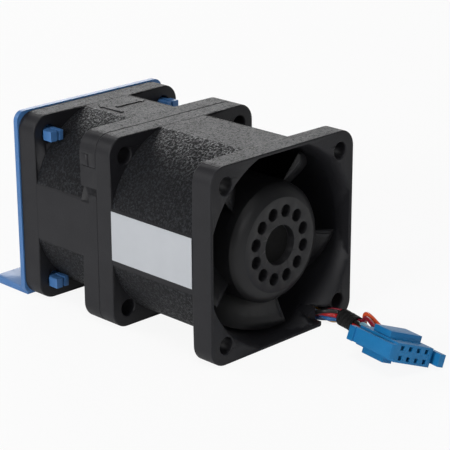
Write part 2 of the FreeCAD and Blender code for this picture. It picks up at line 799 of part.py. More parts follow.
# ---------------------------------------------------------------- rotor
def rotor(stage):
    """The pieces that turn with the impeller, apart from it."""
    cap = stage.size("cap_height") - Dims.cap_thick
    cup_dia = Dims.hub_dia - 2 * Dims.hub_wall
    cup_floor = cap - Dims.yoke_thick
    magnet_outer = cup_dia - 2 * Dims.yoke_thick

    body = stage.body("rotor_yoke")
    a, b, c = Dims.shaft_dia / 2, magnet_outer / 2, cup_dia / 2
    section = profile_on(
        body,
        "cup_section",
        [(a, cup_floor), (b, cup_floor), (b, Dims.hub_mouth), (c, Dims.hub_mouth), (c, cap), (a, cap)],
    )
    turned(body, "cup", section)
    stage.place(body)

    body = stage.body("magnet_ring")
    magnet_low = Dims.hub_mouth + Dims.magnet_inset
    magnet_high = cup_floor - Dims.magnet_cover
    washer(body, "magnet", magnet_outer - 2 * Dims.magnet_thick, magnet_outer, magnet_low, magnet_high)
    stage.place(body)

    body = stage.body("shaft")
    clip_high = Dims.bearing_low - Dims.clip_gap
    groove_high = clip_high
    groove_low = clip_high - Dims.clip_thick
    a, g = Dims.shaft_dia / 2, Dims.clip_groove / 2
    section = profile_on(
        body,
        "shaft_section",
        [
            (0, Dims.shaft_end),
            (a, Dims.shaft_end),
            (a, groove_low),
            (g, groove_low),
            (g, groove_high),
            (a, groove_high),
            (a, cap + Dims.shaft_in_cap),
            (0, cap + Dims.shaft_in_cap),
        ],
    )
    turned(body, "shaft_turned", section)
    stage.place(body)

    body = stage.body("shaft_bush")
    spring_low = stage.size("bearing_high") + Dims.bearing_width
    bush_low = spring_low + Dims.spring_height
    washer(body, "bush", Dims.shaft_dia, Dims.bush_dia, bush_low, cup_floor)
    stage.place(body)

    body = stage.body("retaining_clip")
    washer(body, "clip", Dims.clip_groove, Dims.clip_dia, groove_low, clip_high)
    sketch = sketch_on(body, "clip_mouth_outline", at=clip_high)
    mouth = Dims.clip_groove * 0.4
    rectangle(sketch, 0, -mouth, Dims.clip_dia, mouth)
    pocket(body, "clip_mouth", sketch)
    stage.place(body)

    body = stage.body("preload_spring")
    a, b = Dims.shaft_dia / 2 + Dims.clip_gap, Dims.spring_dia / 2
    thick = Dims.spring_thick
    section = profile_on(
        body,
        "spring_section",
        [(a, spring_low), (b, bush_low - thick), (b, bush_low), (a, spring_low + thick)],
    )
    turned(body, "spring_cone", section)
    stage.place(body)


# ---------------------------------------------------------------- bearings
def bearings(stage):
    """Two sealed bearings: outer rings, inner rings and a shield at each end."""
    lows = (("inboard", Dims.bearing_low), ("outboard", stage.size("bearing_high")))
    width, shield = Dims.bearing_width, Dims.shield_thick

    body = stage.body("bearing_outer_rings")
    for name, low in lows:
        washer(body, name + "_outer", Dims.race_outer, Dims.bearing_outer, low, low + width)
    stage.place(body)

    body = stage.body("bearing_inner_rings")
    for name, low in lows:
        washer(body, name + "_inner", Dims.shaft_dia, Dims.race_inner, low, low + width)
    stage.place(body)

    body = stage.body("bearing_shields")
    inner = Dims.race_inner + 2 * Dims.shield_gap
    for name, low in lows:
        washer(body, name + "_near", inner, Dims.race_outer, low, low + shield)
        washer(body, name + "_far", inner, Dims.race_outer, low + width - shield, low + width)
    stage.place(body)


def bearing_tube(stage):
    """Brass sleeve with a bearing in each end against a shoulder between."""
    body = stage.body("bearing_tube")
    seat, outer = Dims.bearing_outer / 2, Dims.tube_outer / 2
    stop = Dims.tube_stop / 2
    low_stop = Dims.bearing_low + Dims.bearing_width
    high_stop = stage.size("bearing_high")
    top = high_stop + Dims.bearing_width + Dims.tube_rim
    section = profile_on(
        body,
        "tube_section",
        [
            (seat, Dims.tube_seat),
            (outer, Dims.tube_seat),
            (outer, top),
            (seat, top),
            (seat, high_stop),
            (stop, high_stop),
            (stop, low_stop),
            (seat, low_stop),
        ],
    )
    turned(body, "tube", section)
    stage.place(body)


# ---------------------------------------------------------------- stator
def stator_stack(body, name, at, height, widening=0):
    """A stack of the stator's outline: a ring, then one tooth repeated."""
    tooth = Dims.tooth_width / 2 + widening
    ring = sketch_on(body, name + "_ring", at=at)
    circle(ring, 0, 0, Dims.core_back + 2 * sized(widening))
    circle(ring, 0, 0, Dims.tube_outer)
    pad(body, name + "_back_ring", ring, height)
    sketch = sketch_on(body, name + "_tooth_outline", at=at)
    shoe_in, shoe_out = Dims.shoe_inner / 2, Dims.core_dia / 2
    wide = Dims.shoe_half_width
    foot = (Dims.core_back + Dims.tube_outer) / 4
    outer_x = root(shoe_out * shoe_out - wide * wide)
    inner_x = root(shoe_in * shoe_in - wide * wide)
    neck_x = root(shoe_in * shoe_in - tooth * tooth)
    contour(
        sketch,
        [
            (foot, -tooth),
            (neck_x, -tooth, shoe_in, -1),
            (inner_x, -wide),
            (outer_x, -wide, shoe_out, 1),
            (outer_x, wide),
            (inner_x, wide, shoe_in, -1),
            (neck_x, tooth),
            (foot, tooth),
        ],
    )
    made = pad(body, name + "_tooth", sketch, height)
    ring_of(body, name + "_teeth", made, Dims.tooth_count)


def stator(stage):
    """Lamination stack, insulators on both of its ends, and the windings."""
    height = stage.size("core_height")
    low = Dims.core_low
    body = stage.body("stator_core")
    stator_stack(body, "core", low, height)
    stage.place(body)

    body = stage.body("stator_insulators")
    cap = Dims.liner_cap
    stator_stack(body, "near", low - cap, cap, Dims.liner_thick)
    stator_stack(body, "far", low + height, cap, Dims.liner_thick)
    stage.place(body)

    body = stage.body("windings")
    play, build = Dims.coil_play, Dims.coil_build
    inner = Dims.tooth_width / 2 + Dims.liner_thick + play
    inner_low = low - cap - play
    inner_high = low + height + cap + play
    start = Dims.core_back / 2 + Dims.liner_thick + play
    shoe = Dims.shoe_inner / 2
    widest = inner + build
    stop = root(shoe * shoe - widest * widest) - play
    sketch = sketch_on(body, "coil_outline", "YZ_Plane", at=start)
    rounded(sketch, -widest, inner_low - build, widest, inner_high + build, build * 0.8)
    rectangle(sketch, -inner, inner_low, inner, inner_high)
    coil = pad(body, "coil", sketch, stop - start)
    ring_of(body, "coils", coil, Dims.tooth_count)
    stage.place(body)


def board(stage):
    """Circuit board on the base's boss, and the parts soldered to it."""
    low = Dims.base_height + Dims.boss_height
    top = low + Dims.board_thick
    body = stage.body("circuit_board")
    washer(body, "board", Dims.board_hole, Dims.board_dia, low, top)
    stage.place(body)

    body = stage.body("board_parts")
    for name, turn, near, length, width, height in (
        ("driver", 150, 6.4, 3.0, 3.0, 0.9),
        ("sensor", 45, 8.6, 1.6, 2.2, 0.8),
        ("capacitor", 225, 7.2, 1.2, 2.0, 1.0),
        ("diode", 95, 7.4, 1.4, 2.6, 0.9),
        ("resistor", 265, 7.6, 0.8, 1.6, 0.5),
    ):
        sketch = sketch_on(body, name + "_outline", at=top, turn=turn)
        rectangle(sketch, near, -width / 2, near + length, width / 2)
        pad(body, name, sketch, height)
    stage.place(body)


def build_stage(stage):
    impeller(stage)
    rotor(stage)
    bearings(stage)
    bearing_tube(stage)
    stator(stage)
    board(stage)


# ---------------------------------------------------------------- guard plate
def snap_pin(body, name, x, y, back):
    """Flat-sided pin through a flange hole, split, with a barb past the flange."""
    flange = Dims.end_flange
    reach = flange + Dims.pin_reach
    wide, tall = bolt_hole * Dims.pin_width / 2, bolt_hole * Dims.pin_height / 2
    sketch = sketch_on(body, name + "_outline", at=back)
    rectangle(sketch, x - wide, y - tall, x + wide, y + tall)
    pad(body, name, sketch, reach, back=True)
    sketch = sketch_on(body, name + "_barb_outline", at=back - flange - Dims.pin_gap)
    outward = x.value > 0
    r = wide + Dims.pin_barb
    left, right = (x, x + r) if outward else (x - r, x)
    rectangle(sketch, left, y - tall, right, y + tall)
    pad(body, name + "_barb", sketch, Dims.pin_reach - Dims.pin_gap, back=True)
    sketch = sketch_on(body, name + "_slot_outline", at=back - reach)
    slot = Dims.pin_slot / 2
    rectangle(sketch, x - slot, y - 2 * tall, x + slot, y + 2 * tall)
    pocket(body, name + "_slot", sketch, Dims.pin_reach, back=True)


def guard():
    """Clip-on plate with a ring guard, four pins and a grip tab."""
    body = new_body("rear_guard")
    low = rear.size("length")
    thick = Dims.guard_thick
    side = half + Dims.guard_overhang
    opening = bore_radius - Dims.guard_lip
    sketch = sketch_on(body, "plate_outline", at=low)
    rounded(sketch, -side, floor_z, side, side, Dims.guard_corner)
    circle(sketch, 0, 0, 2 * opening)
    pad(body, "plate", sketch, thick)

    hub = Dims.guard_hub / 2
    sketch = sketch_on(body, "guard_hub_circle", at=low)
    circle(sketch, 0, 0, Dims.guard_hub)
    pad(body, "guard_hub_disc", sketch, thick)
    sketch = sketch_on(body, "spoke_outline", at=low, turn=45)
    thin = Dims.guard_spoke / 2
    overlap = Dims.guard_spoke / 2
    rectangle(sketch, hub - overlap, -thin, opening + overlap, thin)
    spoke = pad(body, "spoke", sketch, thick)
    ring_of(body, "spokes", spoke, Dims.guard_spokes)
    for i in range(int(float(Dims.guard_rings))):
        inner = hub + (i + 1) * Dims.guard_ring_step - Dims.guard_ring_width / 2
        sketch = sketch_on(body, "ring_%d_circles" % (i + 1), at=low)
        circle(sketch, 0, 0, 2 * inner)
        circle(sketch, 0, 0, 2 * (inner + Dims.guard_ring_width))
        pad(body, "ring_%d" % (i + 1), sketch, thick)

    hole = hole_place
    corners = (("a", -hole, -hole), ("b", hole, -hole), ("c", -hole, hole), ("d", hole, hole))
    for name, x, y in corners:
        snap_pin(body, "pin_" + name, x, y, low)

    sketch = sketch_on(body, "tab_outline", "XZ_Plane", at=-floor_z)
    reach, across = Dims.tab_length, Dims.tab_width / 2
    r = Dims.tab_corner
    contour(
        sketch,
        [
            (-across, low), (across, low), (across, low + thick + reach - r, r, 1),
            (across - r, low + thick + reach), (r - across, low + thick + reach, r, 1),
            (-across, low + thick + reach - r),
        ],
    )
    pad(body, "tab", sketch, Dims.tab_thick, back=True)
    rear.place(body)


def label():
    """Rating label on the flat of the front housing's left side, left bare."""
    margin = Dims.label_margin
    start = Dims.end_flange + margin
    stop = Dims.front_length - Dims.front_seam_flange - margin
    plate = doc.addObject("Part::Box", "rating_label")
    plate.Label = "rating_label"
    bind(plate, "Length", Dims.label_thick)
    bind(plate, "Width", stop - start)
    bind(plate, "Height", Dims.label_height)
    bind(plate, "Placement.Base.x", -half - Dims.label_thick)
    bind(plate, "Placement.Base.y", start)
    bind(plate, "Placement.Base.z", Dims.label_raise - Dims.label_height / 2)
    parts.append(plate)


# ---------------------------------------------------------------- wires
def route(name, points, limits):
    """Straight runs joined by tangent arcs. A radius is taken from the shorter
    run beside it, or from the limit given for that corner."""
    edges = []
    here = points[0]
    for i in range(1, len(points) - 1):
        before, corner, after = points[i - 1], points[i], points[i + 1]
        back, ahead = before - corner, after - corner
        turn = math.pi - back.getAngle(ahead)
        if turn < 0.01:
            continue
        reach = 0.45 * min(back.Length, ahead.Length)
        radius = reach / math.tan(turn / 2)
        if limits.get(i) and limits[i] < radius:
            radius = limits[i]
            reach = radius * math.tan(turn / 2)
        print("%s bend %d: %.0f deg, radius %.2f mm" % (name, i, math.degrees(turn), radius))
        back.normalize()
        ahead.normalize()
        start, stop = corner + back * reach, corner + ahead * reach
        centre_line = back + ahead
        centre_line.normalize()
        centre = corner + centre_line * (radius / math.cos(turn / 2))
        middle = centre - centre_line * radius
        edges.append(Part.LineSegment(here, start).toShape())
        edges.append(Part.Arc(start, middle, stop).toShape())
        here = stop
    edges.append(Part.LineSegment(here, points[-1]).toShape())
    return edges


def tube(name, points, diameter, limits=None):
    """A round solid along a route, checked against its length."""
    edges = route(name, points, limits or {})
    radius = float(diameter) / 2
    ring = Part.Wire([Part.makeCircle(radius, points[0], points[1] - points[0])])
    solid = Part.Wire(edges).makePipeShell([ring], True, False)
    expected = math.pi * radius**2 * sum(edge.Length for edge in edges)
    if abs(solid.Volume / expected - 1) > 0.01:
        raise ValueError(name + " is pinched: its bends are too tight")
    return solid


def solid_part(label, solids):
    made = doc.addObject("Part::Feature", label)
    made.Label = label
    made.Shape = solids[0] if len(solids) == 1 else Part.makeCompound(solids)
    parts.append(made)
    return made


sleeve_z = floor_z + Dims.sleeve_dia / 2
sleeve_start = V(float(Dims.sleeve_start_x), float(Dims.sleeve_start_y), float(sleeve_z))
sleeve_mid = V(float(Dims.sleeve_mid_x), float(Dims.sleeve_mid_y), float(sleeve_z))
sleeve_end = V(float(Dims.sleeve_end_x), float(Dims.sleeve_end_y), float(sleeve_z))
entering = (sleeve_mid - sleeve_start).normalize()
leaving = (sleeve_end - sleeve_mid).normalize()
columns = int(float(Dims.plug_columns))


def leads(stage):
    """The bundle of one motor's wires: from the board's edge out through the
    duct wall, forward outside the duct and through the notches to the sleeve."""
    row = 0 if stage is front else 1
    away = float(Dims.base_height + Dims.lead_window / 2)
    y = float(Dims.front_length) - stage.hand * away
    out = V(float(cosine(Dims.lead_angle)), 0, float(sine(Dims.lead_angle)))
    spacing = float(Dims.lead_dia + Dims.lead_step)
    reach = float(lead_radius) + row * spacing
    start = out * float(Dims.board_dia / 2 + Dims.clip_gap) + V(0, y, 0)
    corner = out * reach + V(0, y, 0)
    notch = out * reach + V(0, -float(Dims.wire_out), 0)
    mouth = sleeve_start + Z_UP * (spacing * (0.5 - row))
    path = [start, corner, notch, mouth - entering * float(Dims.wire_straight), mouth]
    name = stage.name + "_leads"
    solid_part(name, [tube(name, path, Dims.lead_dia, {1: float(Dims.wire_bend)})])


PLUG_TURN = (
    FreeCAD.Rotation(Z_UP, float(Dims.plug_yaw))
    .multiply(FRONT_VIEW)
    .multiply(FreeCAD.Rotation(V(1, 0, 0), -float(Dims.plug_pitch_up)))
    .multiply(FreeCAD.Rotation(Z_UP, float(Dims.plug_roll)))
)


def place_in_plug(body):
    body.Placement = FreeCAD.Placement(V(0, 0, 0), PLUG_TURN)
    bind(body, "Placement.Base.x", Dims.plug_x)
    bind(body, "Placement.Base.y", Dims.plug_y)
    bind(body, "Placement.Base.z", Dims.plug_z)


def contact_squares(sketch, side, hole=None, rows=(-1, 1)):
    """One square for every contact of the plug."""
    for i in range(columns):
        x = Dims.plug_pitch * (i - (columns - 1) / 2)
        for row in rows:
            y = Dims.plug_pitch / 2 * row
            rectangle(sketch, x - side / 2, y - side / 2, x + side / 2, y + side / 2)
            if hole is not None:
                rectangle(sketch, x - hole / 2, y - hole / 2, x + hole / 2, y + hole / 2)


def block(body, name, left, low, right, high, back, front_end):
    """A block given by its outline and its two ends along the plug."""
    sketch = sketch_on(body, name + "_outline", at=back)
    rectangle(sketch, left, low, right, high)
    pad(body, name, sketch, front_end - back)


def plug():
    """Eight-way plug body with a grip arm, a latch arm, a ridge and a rib."""
    body = new_body("plug_housing")
    length = Dims.plug_length
    w, h = Dims.plug_width / 2, Dims.plug_height / 2
    block(body, "body", -w, -h, w, h, -length, sized(0))
    block(body, "ridge", -w * 0.75, h / 2, w, h + Dims.plug_ridge, -length * 0.78, -length * 0.34)
    block(body, "rib", -w, -h - Dims.plug_rib, -w / 2, -h / 2, -length * 0.8, -length * 0.25)

    arm_out = w + Dims.plug_arm_gap + Dims.plug_arm
    arm_back = -length * 1.09
    block(body, "arm", -arm_out, -h * 0.75, -w - Dims.plug_arm_gap, h * 0.75, arm_back, sized(0))
    block(body, "arm_root", -arm_out, -h * 0.75, -w / 2 - w / 4, h * 0.75, -length * 0.2, sized(0))
    lip = arm_out + Dims.plug_arm / 2
    block(body, "arm_lip", -lip, -h * 0.75, -arm_out, h * 0.75, arm_back, -length * 0.95)

    latch_in = w + Dims.plug_latch_gap
    latch_out = latch_in + Dims.plug_latch
    tall = Dims.plug_latch_height / 2
    block(body, "latch", latch_in, -tall, latch_out, tall, -length * 0.75, length * 0.1)
    block(body, "latch_bridge", w / 2 + w / 4, -tall, latch_in, tall, -length / 2, -length / 3)

    sketch = sketch_on(body, "socket_squares")
    contact_squares(sketch, Dims.plug_socket)
    pocket(body, "sockets", sketch, length - Dims.plug_cavity_depth)
    sketch = sketch_on(body, "cavity_squares", at=-length)
    contact_squares(sketch, Dims.plug_cavity)
    pocket(body, "cavities", sketch, Dims.plug_cavity_depth, back=True)
    sketch = sketch_on(body, "window_squares", "XZ_Plane", at=-h)
    side = Dims.plug_window / 2
    at = -length * 0.24
    for i in range(columns):
        x = Dims.plug_pitch * (i - (columns - 1) / 2)
        rectangle(sketch, x - side, at - side, x + side, at + side)
    pocket(body, "windows", sketch, h - Dims.plug_pitch / 2, back=True)
    place_in_plug(body)

    body = new_body("plug_terminals")
    sketch = sketch_on(body, "terminal_squares", at=Dims.terminal_tail - length)
    contact_squares(sketch, Dims.terminal_side, Dims.terminal_hole)
    pad(body, "terminals", sketch, length * 0.9 - Dims.terminal_tail)
    place_in_plug(body)


def plug_wires():
    """Eight wires, each straight from the sleeve to its contact."""
    origin = V(float(Dims.plug_x), float(Dims.plug_y), float(Dims.plug_z))
    across = Z_UP.cross(leaving)
    length, pitch = float(Dims.plug_length), float(Dims.plug_pitch)
    spacing = float(Dims.wire_dia + Dims.wire_gap)
    solids = []
    for row in (0, 1):
        for k in range(columns):
            column, up = k - (columns - 1) / 2, 0.5 - row
            tail = V(pitch * column, pitch * up, float(Dims.terminal_tail) - length)
            start = sleeve_end + across * (spacing * column) + Z_UP * (spacing * up)
            stop = origin + PLUG_TURN.multVec(tail)
            name = "plug wire %d" % (len(solids) + 1)
            solids.append(tube(name, [start, stop], Dims.wire_dia))
    solid_part("plug_wires", solids)


# ---------------------------------------------------------------- build
front_housing()
rear_housing()
build_stage(front)
build_stage(rear)
guard()
label()
leads(front)
leads(rear)
sleeve_path = [sleeve_start, sleeve_mid, sleeve_end]
solid_part("harness_sleeve", [tube("sleeve", sleeve_path, Dims.sleeve_dia)])
plug()
plug_wires()

doc.recompute()
os.makedirs("parts", exist_ok=True)
for obj in doc.Objects:
    if "Invalid" in obj.State or "Error" in obj.State:
        raise ValueError(obj.Label + " did not recompute")
for obj in parts:
    if obj.Shape.isNull() or not obj.Shape.isValid():
        raise ValueError(obj.Label + " has no valid shape")
    obj.Shape.exportStep("parts/%s.step" % obj.Label)
    box = obj.Shape.BoundBox
    print("%-28s %9.2f mm3, z from %.2f" % (obj.Label, obj.Shape.Volume, box.ZMin))
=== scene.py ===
# %% [markdown]
# # A twin server fan, dressed for the camera
#
# Two small axial fans stand nose to tail in moulded black housings. A blue guard plate is
# clipped on the back, and a short bundle of wires ends in a blue plug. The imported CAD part
# gives every size and every place. This lesson adds what CAD leaves out: softened edges,
# the spark-eroded grain of the moulds, coloured wires, a wrinkled sleeve, and light.

import json
import math

import bmesh
import bpy
import numpy as np
from mathutils import Matrix, Vector

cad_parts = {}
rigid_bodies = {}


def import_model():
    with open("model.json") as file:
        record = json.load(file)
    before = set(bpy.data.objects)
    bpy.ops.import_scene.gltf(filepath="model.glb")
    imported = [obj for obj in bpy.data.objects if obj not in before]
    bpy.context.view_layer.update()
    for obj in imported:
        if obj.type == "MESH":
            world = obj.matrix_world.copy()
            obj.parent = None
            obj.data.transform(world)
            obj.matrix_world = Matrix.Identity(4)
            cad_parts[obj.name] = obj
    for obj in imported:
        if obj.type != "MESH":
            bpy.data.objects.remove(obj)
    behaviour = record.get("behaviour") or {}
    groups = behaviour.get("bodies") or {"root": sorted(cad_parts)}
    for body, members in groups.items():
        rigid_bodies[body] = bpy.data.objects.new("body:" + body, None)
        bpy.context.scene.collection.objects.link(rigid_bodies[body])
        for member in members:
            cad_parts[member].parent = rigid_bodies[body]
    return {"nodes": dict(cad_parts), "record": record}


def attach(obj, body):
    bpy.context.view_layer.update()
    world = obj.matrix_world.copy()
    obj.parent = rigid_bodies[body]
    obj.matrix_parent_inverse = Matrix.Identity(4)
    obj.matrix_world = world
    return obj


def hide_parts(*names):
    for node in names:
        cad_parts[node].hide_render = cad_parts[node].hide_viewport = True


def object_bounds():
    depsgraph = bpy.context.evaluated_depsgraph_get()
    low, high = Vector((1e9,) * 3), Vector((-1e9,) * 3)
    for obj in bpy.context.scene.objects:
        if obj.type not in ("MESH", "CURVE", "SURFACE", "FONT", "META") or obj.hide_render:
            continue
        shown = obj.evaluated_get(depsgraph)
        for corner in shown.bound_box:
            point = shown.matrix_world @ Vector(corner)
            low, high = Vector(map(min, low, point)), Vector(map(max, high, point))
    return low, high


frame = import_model()
cad_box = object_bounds()
nodes, record = frame["nodes"], frame["record"]
mm = 0.001
print("box in mm:", [round(v / mm, 2) for corner in cad_box for v in corner])

# %% [markdown]
# ## The camera
# The camera looks at the front left corner from a little above. A long lens keeps the two
# fans square to each other. The view is built from two angles in degrees, a distance in mm
# and the point that it looks at. A small roll stands for a tripod that isn't quite level.

# %% Camera
azimuth, elevation, roll = map(math.radians, (-44.977, 19.21, -0.264))
back = Vector((math.sin(azimuth) * math.cos(elevation),
               -math.cos(azimuth) * math.cos(elevation), math.sin(elevation)))
right = (-back).cross(Vector((0, 0, 1))).normalized()
up = right.cross(-back).normalized()
right, up = (math.cos(roll) * right + math.sin(roll) * up,
             math.cos(roll) * up - math.sin(roll) * right)
distance = 341.657
looked_at = Vector((0, 28.0, 0)) + 8.282 * right - 2.234 * up
lens = bpy.data.cameras.new("camera")
lens.sensor_width, lens.lens = 36.0, 132.96
lens.clip_start, lens.clip_end = 0.01, 20.0
camera = bpy.data.objects.new("camera", lens)
camera.matrix_world = Matrix.Translation((looked_at + distance * back) * mm) @ Matrix(
    (right, up, back)).transposed().to_4x4()
bpy.context.scene.collection.objects.link(camera)
bpy.context.scene.camera = camera
print("camera stands at", [round(v / mm, 1) for v in camera.location])

# %% [markdown]
# ## Writing materials as sums
# A Blender material is a graph of nodes. Wiring it by hand is slow to read, so one small
# class wraps a socket. With it, `0.3 + 0.2 * grain` adds the Math nodes by itself. Every
# other node comes from one method that takes its type, its settings and its inputs.


# %% A value that lives in a material
class Value:
    """The output of a node. Arithmetic on it adds Math nodes to the same finish."""

    def __init__(self, finish, socket):
        self.finish, self.socket = finish, socket

    def _math(self, operation, *inputs, clamp=False):
        settings = {"operation": operation, "use_clamp": clamp}
        return self.finish.node("ShaderNodeMath", settings, dict(enumerate(inputs)))

    def __add__(self, other):
        return self._math("ADD", self, other)

    __radd__ = __add__

    def __sub__(self, other):
        return self._math("SUBTRACT", self, other)

    def __rsub__(self, other):
        return self._math("SUBTRACT", other, self)

    def __mul__(self, other):
        return self._math("MULTIPLY", self, other)

    __rmul__ = __mul__

    def __abs__(self):
        return self._math("ABSOLUTE", self)

    def __pow__(self, power):
        return self._math("POWER", self, power)

    def above(self, edge, width):
        """0 below the edge, 1 above it, and a straight ramp of this width between."""
        return self._math("MULTIPLY", self - (edge - width / 2), 1 / width, clamp=True)

    def below(self, edge, width):
        return 1 - self.above(edge, width)


# %% [markdown]
# ## A finish
# A finish starts as plain Principled plastic or metal. Numbers that are the same all over
# are set on the shader itself. Colour, roughness and bump may then follow patterns. All
# patterns read the object's own coordinates, in metres, so a grain of 0.3 mm is 0.3 mm.


# %% A finish
class Graph:
    """An empty node tree. Every node in it is made by node()."""

    def __init__(self, tree):
        self.tree = tree
        tree.nodes.clear()

    def node(self, kind, settings=None, inputs=None, output=0):
        """A node with its settings and its fed sockets; the Value is one of its outputs."""
        made = self.tree.nodes.new(kind)
        for key, value in (settings or {}).items():
            setattr(made, key, value)
        for key, value in (inputs or {}).items():
            self._feed(made.inputs[key], value)
        return made if output is None else Value(self, made.outputs[output])

    def _feed(self, socket, value):
        if isinstance(value, Value):
            self.tree.links.new(value.socket, socket)
        elif value is not None:
            socket.default_value = value


class Finish(Graph):
    """One material: fixed = socket values of the Principled shader that never vary."""

    def __init__(self, name, color=(0.5, 0.5, 0.5), **fixed):
        self.material = bpy.data.materials.new(name)
        self.material.use_nodes = True
        self.material.diffuse_color = (*color, 1)
        super().__init__(self.material.node_tree)
        self.surface = self.node("ShaderNodeBsdfPrincipled")
        self.shader = self.surface.socket.node
        self.out = self.node("ShaderNodeOutputMaterial", {}, {0: self.surface}, None)
        self.set("Base Color", (*color, 1))
        for socket, value in fixed.items():
            self.set(socket.replace("_", " "), value)

    def set(self, socket, value):
        """Gives one socket of the Principled shader a number, a colour or a pattern."""
        self._feed(self.shader.inputs[socket], value)

    def show(self, surface):
        """Sends another shader than the plain Principled one to the output."""
        self._feed(self.out.inputs[0], surface)

    def place(self):
        """Object coordinates: a vector in metres."""
        return self.node("ShaderNodeTexCoord", output="Object")

    def axes(self):
        """The object coordinates x, y and z, each one a value in metres."""
        split = self.node("ShaderNodeSeparateXYZ", {}, {0: self.place()}, None)
        return [Value(self, split.outputs[i]) for i in range(3)]

    def grain(self, size, detail=2.0, rough=0.5, stretch=(1, 1, 1), at=None):
        """Noise from 0 to 1 with features of about this size, in metres."""
        where = self.node("ShaderNodeMapping", {},
                          {"Vector": at or self.place(), "Scale": stretch})
        return self.node("ShaderNodeTexNoise", {"noise_dimensions": "3D"},
                         {"Vector": where, "Scale": 1 / size, "Detail": detail,
                          "Roughness": rough}, "Fac")

    def mix(self, amount, first, second):
        """A colour between two colours. Sockets 6, 7 and 2 are the Mix node's colours."""
        first, second = (value if isinstance(value, Value) else (*value, 1)
                         for value in (first, second))
        return self.node("ShaderNodeMix", {"data_type": "RGBA"},
                         {0: amount, 6: first, 7: second}, 2)

    def bump(self, height, depth, strength=1.0):
        """Tilts the surface as if it rose and fell by this depth, in metres."""
        self.set("Normal", self.node("ShaderNodeBump", {}, {
            "Strength": strength, "Distance": depth, "Height": height}, "Normal"))


finishes = {}
print("the record names", len(record["materials"]), "material slots")

# %% [markdown]
# ## Black moulded housing
# The housings are glass-filled black plastic. The mould's flats were ground, so they are
# satin. The curved duct walls were spark-eroded, so they glitter with small facets in their
# bump and gloss. Their colour also carries painted shade, near black, and small painted
# glints. Both grains are in one finish, because each housing is one moulding: the curved
# wall is found by its distance from the fan's axis.

# %% Housing plastic
duct_walls = [(4.96, 28.05), (37.02, 51.27)]  # mm, from flange to flange, front and rear


def housing_plastic():
    """Spark = 1 on the curved walls between flanges; ground_top = 1 on the top and bottom."""
    made = Finish("housing_plastic", (0.015, 0.015, 0.017), Specular_IOR_Level=0.32)
    x, y, z = made.axes()
    from_axis = (x * x + z * z) ** 0.5
    curved = (from_axis.above(0.0199, 0.0002) * abs(x).below(0.01985, 0.0001)
              * abs(z).below(0.01985, 0.0001))
    front_duct, rear_duct = (
        y.above((low + 0.1) * mm, 0.0001) * y.below((high - 0.1) * mm, 0.0001)
        for low, high in duct_walls)
    spark = curved * (front_duct + rear_duct)
    ground = made.grain(0.00045, 4, 0.70)
    pits = made.grain(0.00050, 4, 0.72)
    haze = made.grain(0.006, 3, 0.6)
    ground_top = abs(z).above(0.0198, 0.0001)
    speck = ground.below(0.44, 0.12) * ground_top
    painted_glint = pits.above(0.53, 0.10) * spark
    shade = made.mix(haze, (0.008, 0.008, 0.010), (0.014, 0.014, 0.017))
    # painted shade: the curved duct walls are coloured 0.8 of the way to near black; the
    # specks on the top and bottom flats are their grain
    shade = made.mix(speck * 0.6 + 0.8 * spark, shade, (0.002, 0.002, 0.003))
    # painted glints: small spots on the curved walls are coloured bright, beside the real
    # gloss and bump of their facets
    made.set("Base Color", made.mix(painted_glint * 0.8, shade, (0.018, 0.021, 0.027)))
    made.set("Roughness", 0.56 - 0.10 * haze + 0.30 * speck + spark * 0.28 - painted_glint * 0.50)
    made.bump(ground * (0.25 + 0.65 * ground_top) * (1 - spark) + pits * 4.5 * spark,
              0.00014, 1.0)
    return made.material


finishes["housing_plastic"] = housing_plastic()

# %% [markdown]
# ## Plastics with an even colour
# The impellers, the guard, the plug, the sleeve, the wires and small parts of the motor are
# smooth mouldings. They share one recipe: a colour that drifts a little, a fine grain, and
# faint handling marks in the gloss.


# %% Smooth plastics
def smooth_plastic(name, dark, light, rough, grain=0.00025, depth=0.00001, drift=0.004,
                   shaded_recess=None, **fixed):
    """shaded_recess = radius round the fan's axis inside which the colour carries painted
    shade, near black, and the moulding is left rough.
    """
    made = Finish(name, light, **fixed)
    cloud = made.grain(drift, 3, 0.55)
    rubbed = made.grain(drift * 0.6, 4, 0.6, stretch=(1, 0.35, 1))
    color, gloss = made.mix(cloud, dark, light), rough - 0.06 + 0.14 * rubbed
    if shaded_recess:
        x, _, z = made.axes()
        inside = ((x * x + z * z) ** 0.5).below(shaded_recess, 0.0001)
        # painted shade: inside the hub's recess the colour is near black
        color, gloss = made.mix(inside, color, (0.001, 0.001, 0.001)), gloss + 0.5 * inside
    made.set("Base Color", color)
    made.set("Roughness", gloss)
    made.bump(made.grain(grain, 2, 0.5), depth, 0.6)
    return made.material


finishes["impeller_plastic"] = smooth_plastic(
    "impeller_plastic", (0.008, 0.008, 0.009), (0.013, 0.013, 0.015), 0.42, 0.0003, 0.000008,
    shaded_recess=0.00395, Specular_IOR_Level=0.40)
finishes["guard_plastic"] = smooth_plastic(
    "guard_plastic", (0.050, 0.150, 0.36), (0.070, 0.190, 0.43), 0.36, 0.0003, 0.00001,
    Specular_IOR_Level=0.40)
finishes["plug_plastic"] = smooth_plastic(
    "plug_plastic", (0.008, 0.150, 0.37), (0.016, 0.195, 0.45), 0.40, 0.0002, 0.000008,
    Specular_IOR_Level=0.35)
finishes["sleeve_plastic"] = smooth_plastic(
    "sleeve_plastic", (0.004, 0.004, 0.004), (0.009, 0.009, 0.009), 0.60, 0.0003, 0.00003,
    Specular_IOR_Level=0.22)
finishes["insulator_plastic"] = smooth_plastic(
    "insulator_plastic", (0.66, 0.64, 0.56), (0.76, 0.74, 0.67), 0.42)
finishes["chip_plastic"] = smooth_plastic(
    "chip_plastic", (0.020, 0.020, 0.021), (0.035, 0.035, 0.036), 0.55)
finishes["magnet"] = smooth_plastic(
    "magnet", (0.055, 0.055, 0.060), (0.085, 0.085, 0.09), 0.62, 0.0002, 0.00002)
